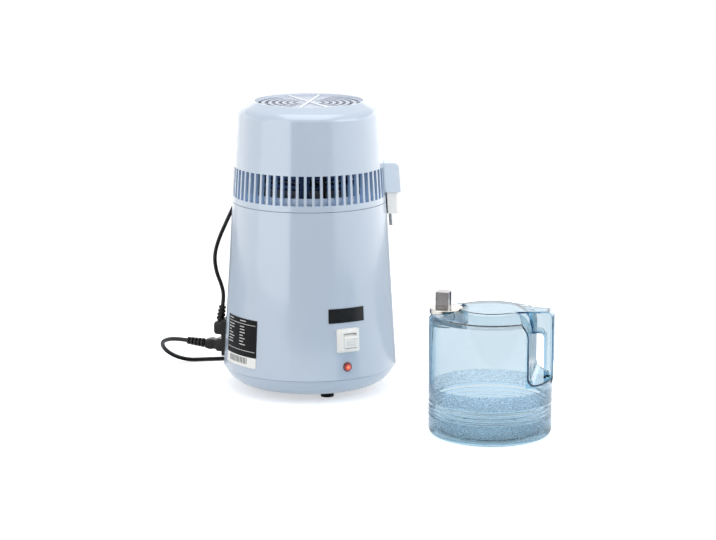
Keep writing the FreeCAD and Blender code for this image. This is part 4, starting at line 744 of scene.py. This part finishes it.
def coilPoints(lead):
    # two and a half turns inwards on the table, and as many outwards on top of them, a diameter apart
    diameter = 2 * lead["radius"]
    points = []
    for number in range(lead["turns"] * lead["perTurn"] + 1):
        turn = number / lead["perTurn"]
        inwards = sum(eased(turn, *step) for step in lead["stepsIn"])
        outwards = sum(eased(turn, *step) for step in lead["stepsOut"])
        radius = lead["coilRadius"] + diameter * (outwards - inwards)
        radius /= math.cos(math.pi / lead["perTurn"])      # the smooth line cuts inside its points
        angle = math.radians(90) - 2 * math.pi * turn
        x = lead["coilCentre"][0] + radius * math.cos(angle)
        y = lead["coilCentre"][1] + radius * math.sin(angle)
        points.append((x, y, lead["coilLow"] + diameter * eased(turn, *lead["stepUp"])))
    return points


def cordCurve(name, points, radius):
    curve = bpy.data.curves.new(name, "CURVE")
    curve.dimensions = "3D"
    line = curve.splines.new("NURBS")
    line.points.add(len(points) - 1)
    for spot, point in zip(line.points, points):
        spot.co = (*point, 1.0)
    line.order_u = 3
    line.use_endpoint_u = True
    curve.resolution_u = 8
    curve.bevel_depth = radius
    curve.bevel_resolution = 4
    curve.use_fill_caps = True
    cord = bpy.data.objects.new(name, curve)
    sceneRoot.collection.objects.link(cord)
    return cord


def centreline(cord):
    # the points of the smooth line itself, read with the cord's thickness taken off for a moment
    depth = cord.data.bevel_depth
    cord.data.bevel_depth = 0
    bpy.context.view_layer.update()
    line = bpy.data.meshes.new_from_object(cord.evaluated_get(bpy.context.evaluated_depsgraph_get()))
    points = [vertex.co.copy() for vertex in line.vertices]
    bpy.data.meshes.remove(line)
    cord.data.bevel_depth = depth
    return points


def lengthOf(points):
    return sum((b - a).length for a, b in zip(points, points[1:]))


def cordTube(name, points, radius):
    # the curve turned into a tube, with the smooth line that it follows
    cord = cordCurve(name, points, radius)
    path = centreline(cord)
    takeUp(cord)
    bpy.ops.object.convert(target="MESH")
    cord = named(name)
    smooth(cord, angle=60)
    dress(cord, "cord_pvc")
    return cord, path


def makeMainsLead():
    points = mainsLead["route"] + coilPoints(mainsLead) + mainsLead["tail"]
    cord, path = cordTube("mainsLead", points, mainsLead["radius"])
    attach(cord, "lead")
    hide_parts("mains_cord", "mains_cord_coil", "mains_cord_tail")
    return cord, path


def makeFanLead():
    cord, path = cordTube("fanLead", fanLead["route"], fanLead["radius"])
    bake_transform(cord)
    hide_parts("fan_cord")
    return cord, path


# the moulded plugs on the cords: reach is how far a grip stands out from the wall, and each of its
# sections is (distance back from its outer end, width, height)
socketAzimuth = -131.0
socketWay = Vector((math.sin(math.radians(socketAzimuth)), -math.cos(math.radians(socketAzimuth)), 0.0))
plugFace = 119.3
connectorLook = {
    "height": 51.6, "reach": 26.0, "rounding": 2.2,
    "sections": ((0.0, 12.5, 10.0), (1.2, 15.0, 12.0), (8.0, 17.5, 14.4), (12.0, 16.0, 13.0),
                 (14.5, 16.0, 13.0), (18.5, 22.6, 17.0), (24.6, 24.0, 17.0), (26.0, 24.0, 17.0)),
    "relief": {"length": 27.5, "tip": 4.9, "root": 6.3, "ribs": 5, "groove": 1.9},
}
fanPlugLook = {
    "height": 75.1, "reach": 12.0, "rounding": 2.4,
    "sections": ((0.0, 18.0, 12.4), (1.6, 21.8, 16.2), (4.4, 23.2, 17.4), (9.4, 23.2, 17.4),
                 (9.8, 24.0, 18.0), (12.0, 24.0, 18.0)),
    "relief": {"length": 20.5, "tip": 4.7, "root": 5.9, "ribs": 4, "groove": 1.5},
}
mainsPlugLook = {
    "relief": {"length": 18.0, "tip": 4.0, "root": 5.6, "ribs": 4, "groove": 1.4},
    "grip": ((18.0, 8.0), (20.0, 8.4), (24.0, 8.3), (27.0, 8.0), (30.0, 8.2), (36.0, 9.2), (41.6, 10.0),
             (42.4, 16.4), (43.6, 17.7), (45.0, 18.0), (60.6, 18.0), (61.6, 17.6), (62.0, 16.8)),
    "sides": 48,
}
# one rib and the groove behind it, as (share of the rib's pitch, share of the groove's depth)
ribProfile = ((0.04, 0.25), (0.12, 0.0), (0.58, 0.0), (0.66, 0.25), (0.7, 1.0), (0.98, 1.0))
ribPlace = 0.6      # where on its pitch a rib takes its radius from the relief's taper
tipCut = 0.6        # how deep the tip is cut back, as a share of a groove
gripEdges = {"width": 0.5, "angle": 40}
noseOverlap = 0.1   # how far the nose reaches out past the socket's face, into the grip


def reliefRings(look):
    # each rib is a short straight step on the taper, and the groove behind it is cut back
    pitch = look["length"] / look["ribs"]
    rings = [(0.0, look["tip"] - look["groove"] * tipCut)]
    for number in range(look["ribs"]):
        radius = look["tip"] + (look["root"] - look["tip"]) * (number + ribPlace) / look["ribs"]
        for share, depth in ribProfile:
            rings.append(((number + share) * pitch, radius - depth * look["groove"]))
    return rings


def socketNose(node, name):
    # the end that goes into the socket, with its pin slots, cut off a copy of the solid's mesh
    nose = copiedNode(node, name)
    bpy.ops.object.mode_set(mode="EDIT")
    bpy.ops.mesh.select_all(action="SELECT")
    cut = socketWay * (plugFace + noseOverlap) * mm
    bpy.ops.mesh.bisect(plane_co=cut, plane_no=socketWay, use_fill=True, clear_outer=True)
    closeEdit(turnOut=False)
    bpy.ops.mesh.customdata_custom_splitnormals_clear()
    return nose


def socketPlug(name, node, look, cordEnd, cordBefore):
    # the nose, the moulded grip outside the wall and the relief round the cord's end, as one piece
    foot = socketWay * (plugFace + look["reach"]) * mm + Vector((0, 0, look["height"] * mm))
    grip = mouldedBlock(name + "Grip", look["sections"], foot, -socketWay, look["rounding"])
    bevelled(grip, gripEdges["width"], gripEdges["angle"])
    along = (Vector(cordEnd) - Vector(cordBefore)).normalized()
    relief = turnedPiece(name + "Relief", reliefRings(look["relief"]), cordEnd, along)
    piece = joined(name, [grip, relief, socketNose(node, name + "Nose")])
    smooth(piece)
    dress(piece, "cord_pvc", "socketBlack")
    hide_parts(node)
    return piece


def makeMainsPlug():
    look = mainsPlugLook
    before, end = mainsLead["tail"][-2:]
    along = (Vector(end) - Vector(before)).normalized()
    rings = reliefRings(look["relief"]) + list(look["grip"])
    plug = turnedPiece("mainsPlug", rings, end, along, sides=look["sides"])
    smooth(plug)
    dress(plug, "cord_pvc", "socketBlack")
    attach(plug, "lead")
    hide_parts("mains_plug")
    return plug


mainsCord, mainsPath = makeMainsLead()
fanCord, fanPath = makeFanLead()
connector = socketPlug("mainsConnector", "mains_connector", connectorLook,
                       mainsLead["route"][0], mainsLead["route"][1])
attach(connector, "lead")
fanPlug = socketPlug("fanPlug", "fan_plug", fanPlugLook, fanLead["route"][-1], fanLead["route"][-2])
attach(fanPlug, "base")
mainsPlug = makeMainsPlug()
print("mains lead", round(lengthOf(mainsPath), 3), "m, fan lead", round(lengthOf(fanPath), 3), "m")


# the studio is in metres and degrees; azimuth 0 is in front, along -Y
cameraLook = {"azimuth": -26.0, "distance": 3.22816, "height": 0.80281, "down": 11.285, "right": 1.142,
              "lens": 124.44, "sensor": 36.0, "nearClip": 0.05, "farClip": 60}


def placeAt(azimuth, reach, height):
    turn = math.radians(azimuth)
    return Vector((reach * math.sin(turn), -reach * math.cos(turn), height))


def pointAlong(thing, way):
    thing.rotation_mode = "QUATERNION"
    thing.rotation_quaternion = way.to_track_quat("-Z", "Y")


def standCamera():
    look = cameraLook
    data = bpy.data.cameras.new("camera")
    data.lens = look["lens"]
    data.sensor_width = look["sensor"]
    data.clip_start = look["nearClip"]
    data.clip_end = look["farClip"]
    camera = bpy.data.objects.new("camera", data)
    sceneRoot.collection.objects.link(camera)
    camera.location = placeAt(look["azimuth"], look["distance"], look["height"])
    heading = math.radians(look["right"] - look["azimuth"])
    down = math.radians(look["down"])
    level = math.cos(down)
    pointAlong(camera, Vector((math.sin(heading) * level, math.cos(heading) * level, -math.sin(down))))
    sceneRoot.camera = camera


lamps = {
    "topBox": {"azimuth": -26.0, "reach": 0.4, "height": 2.4, "width": 2.2, "tall": 2.2, "radiance": 2.1},
    "leftBox": {"azimuth": -80.0, "reach": 2.6, "height": 1.3, "width": 2.0, "tall": 1.6, "radiance": 1.0},
    "rightBox": {"azimuth": 40.0, "reach": 2.6, "height": 1.3, "width": 1.8, "tall": 1.6, "radiance": 2.1},
}
lampAim = (0.02, -0.1, 0.2)
# tall panels that only show as reflections, each from one azimuth to the next, in so many steps
panels = {
    "leftPanel": {"azimuths": (-52.0, -104.0), "radiance": (1.7, 1.7), "steps": 1},
    "leftBackPanel": {"azimuths": (-104.0, -156.0), "radiance": (0.85, 0.85), "steps": 1},
    "backPanel": {"azimuths": (-156.0, -210.0), "radiance": (0.5, 0.5), "steps": 1},
    "rightPanel": {"azimuths": (10.0, 88.0), "radiance": (0.2, 1.4), "steps": 6},
    "rightSidePanel": {"azimuths": (88.0, 124.0), "radiance": (1.3, 1.3), "steps": 1},
    "rightBackPanel": {"azimuths": (124.0, 150.0), "radiance": (0.5, 0.5), "steps": 1},
}
panelLook = {"reach": 1.5, "height": 0.35, "tall": 1.2}


def hangLamp(name, place, aim, width, tall, radiance):
    data = bpy.data.lights.new(name, "AREA")
    data.shape = "RECTANGLE"
    data.size = width
    data.size_y = tall
    data.energy = radiance * math.pi * width * tall
    lamp = bpy.data.objects.new(name, data)
    sceneRoot.collection.objects.link(lamp)
    lamp.location = place
    pointAlong(lamp, Vector(aim) - lamp.location)
    lamp.visible_camera = False
    return lamp


def showOnlyInReflections(thing):
    thing.visible_camera = False
    thing.visible_diffuse = False
    thing.visible_transmission = False
    thing.visible_volume_scatter = False


def hangLamps():
    for name, look in lamps.items():
        place = placeAt(look["azimuth"], look["reach"], look["height"])
        hangLamp(name, place, lampAim, look["width"], look["tall"], look["radiance"])


def hangPanels():
    reach, height = panelLook["reach"], panelLook["height"]
    for name, look in panels.items():
        start, end = look["azimuths"]
        first, last = look["radiance"]
        step = (end - start) / look["steps"]
        width = 2 * reach * math.tan(math.radians(abs(step) / 2))
        for number in range(look["steps"]):
            share = number / max(1, look["steps"] - 1)
            place = placeAt(start + (number + 0.5) * step, reach, height)
            radiance = first * (1 - share) + last * share
            panel = hangLamp(name, place, (0, 0, height), width, panelLook["tall"], radiance)
            showOnlyInReflections(panel)


backdrop = {"fill": (0.95, 0.97, 1.0, 1), "fillStrength": 0.54, "white": (1, 1, 1, 1),
            "floorColour": (0.9, 0.9, 0.9, 1), "floorGlow": 0.5, "floorSize": 24.0,
            "nearFloor": 0.7, "farFloor": 1.8}      # where the floor begins and ends to fade to white


def seenDirectly(flow):
    # 1 for what the camera, a mirror or clear plastic looks at, 0 for light that falls on things
    names = ("Is Camera Ray", "Is Glossy Ray", "Is Transmission Ray")
    return anyOf([flow.add("LightPath", output=name) for name in names])


def paintWorld():
    look = backdrop
    world = bpy.data.worlds.new("studio")
    sceneRoot.world = world
    world.use_nodes = True
    world.node_tree.nodes.clear()
    flow = Flow(world.node_tree)
    fill = flow.add("Background", values={"Color": look["fill"], "Strength": look["fillStrength"]})
    white = flow.add("Background", values={"Color": look["white"], "Strength": 1.0})
    mixed = flow.add("MixShader", values={0: seenDirectly(flow), 1: fill, 2: white})
    flow.add("OutputWorld", values={"Surface": mixed})


def layFloor():
    look = backdrop
    clearSelection()
    bpy.ops.mesh.primitive_plane_add(size=look["floorSize"], location=(0, 0, 0))
    floor = named("floor")
    made = bpy.data.materials.new("floor")
    made.use_nodes = True
    made.node_tree.nodes.clear()
    flow = Flow(made.node_tree)
    x, y = flow.axes()[:2]
    far = fromAxis(x, y).between(look["nearFloor"] / mm, look["farFloor"] / mm)
    matt = flow.add("BsdfDiffuse", values={"Color": look["floorColour"]})
    glow = flow.add("Emission", values={"Color": look["white"], "Strength": look["floorGlow"]})
    white = flow.add("Emission", values={"Color": look["white"], "Strength": 1.0})
    glowing = flow.add("AddShader", values={0: matt, 1: glow})
    seen = flow.add("MixShader", values={0: far, 1: glowing, 2: white})
    mixed = flow.add("MixShader", values={0: seenDirectly(flow), 1: matt, 2: seen})
    flow.add("OutputMaterial", values={"Surface": mixed})
    floor.data.materials.append(made)


# matt cards that only show as reflections: one stands up in front of the object, one lies behind it
cards = {
    "frontCard": {"azimuth": -22.0, "near": 0.75, "reach": 1.3, "width": 1.6, "tall": 1.6,
                  "colour": (0.05, 0.05, 0.05, 1)},
    "backCard": {"azimuth": 154.0, "near": 0.12, "reach": 1.45, "width": 2.6, "tall": 0.0,
                 "colour": (0.44, 0.5, 0.56, 1)},
}
cardLift = 3 * mm


def standCard(name, look):
    # a sheet on the floor from near to reach, and up from its far edge where it is tall
    clearSelection()
    bpy.ops.mesh.primitive_plane_add(size=1, location=(0, 0, 0))
    card = named(name)
    card.scale = (look["width"], look["reach"] - look["near"], 1)
    card.location = (0, -(look["reach"] + look["near"]) / 2, cardLift)
    bpy.ops.object.transform_apply(location=True, scale=True)
    if look["tall"]:
        bpy.ops.object.mode_set(mode="EDIT")
        pickEdges(card, lambda edge: all(vertex.co.y < mm - look["reach"] for vertex in edge.verts))
        bpy.ops.mesh.extrude_region_move(TRANSFORM_OT_translate={"value": (0, 0, look["tall"])})
        closeEdit()
    card.rotation_euler = (0, 0, math.radians(look["azimuth"]))
    settle(card)
    card.data.materials.append(material(name, {"Base Color": look["colour"], "Roughness": 1.0}))
    showOnlyInReflections(card)
    card.visible_shadow = False


standCamera()
hangLamps()
hangPanels()
paintWorld()
layFloor()
for cardName, cardLook in cards.items():
    standCard(cardName, cardLook)
sceneRoot.view_settings.view_transform = "Standard"
print("camera, lamps and floor in place")
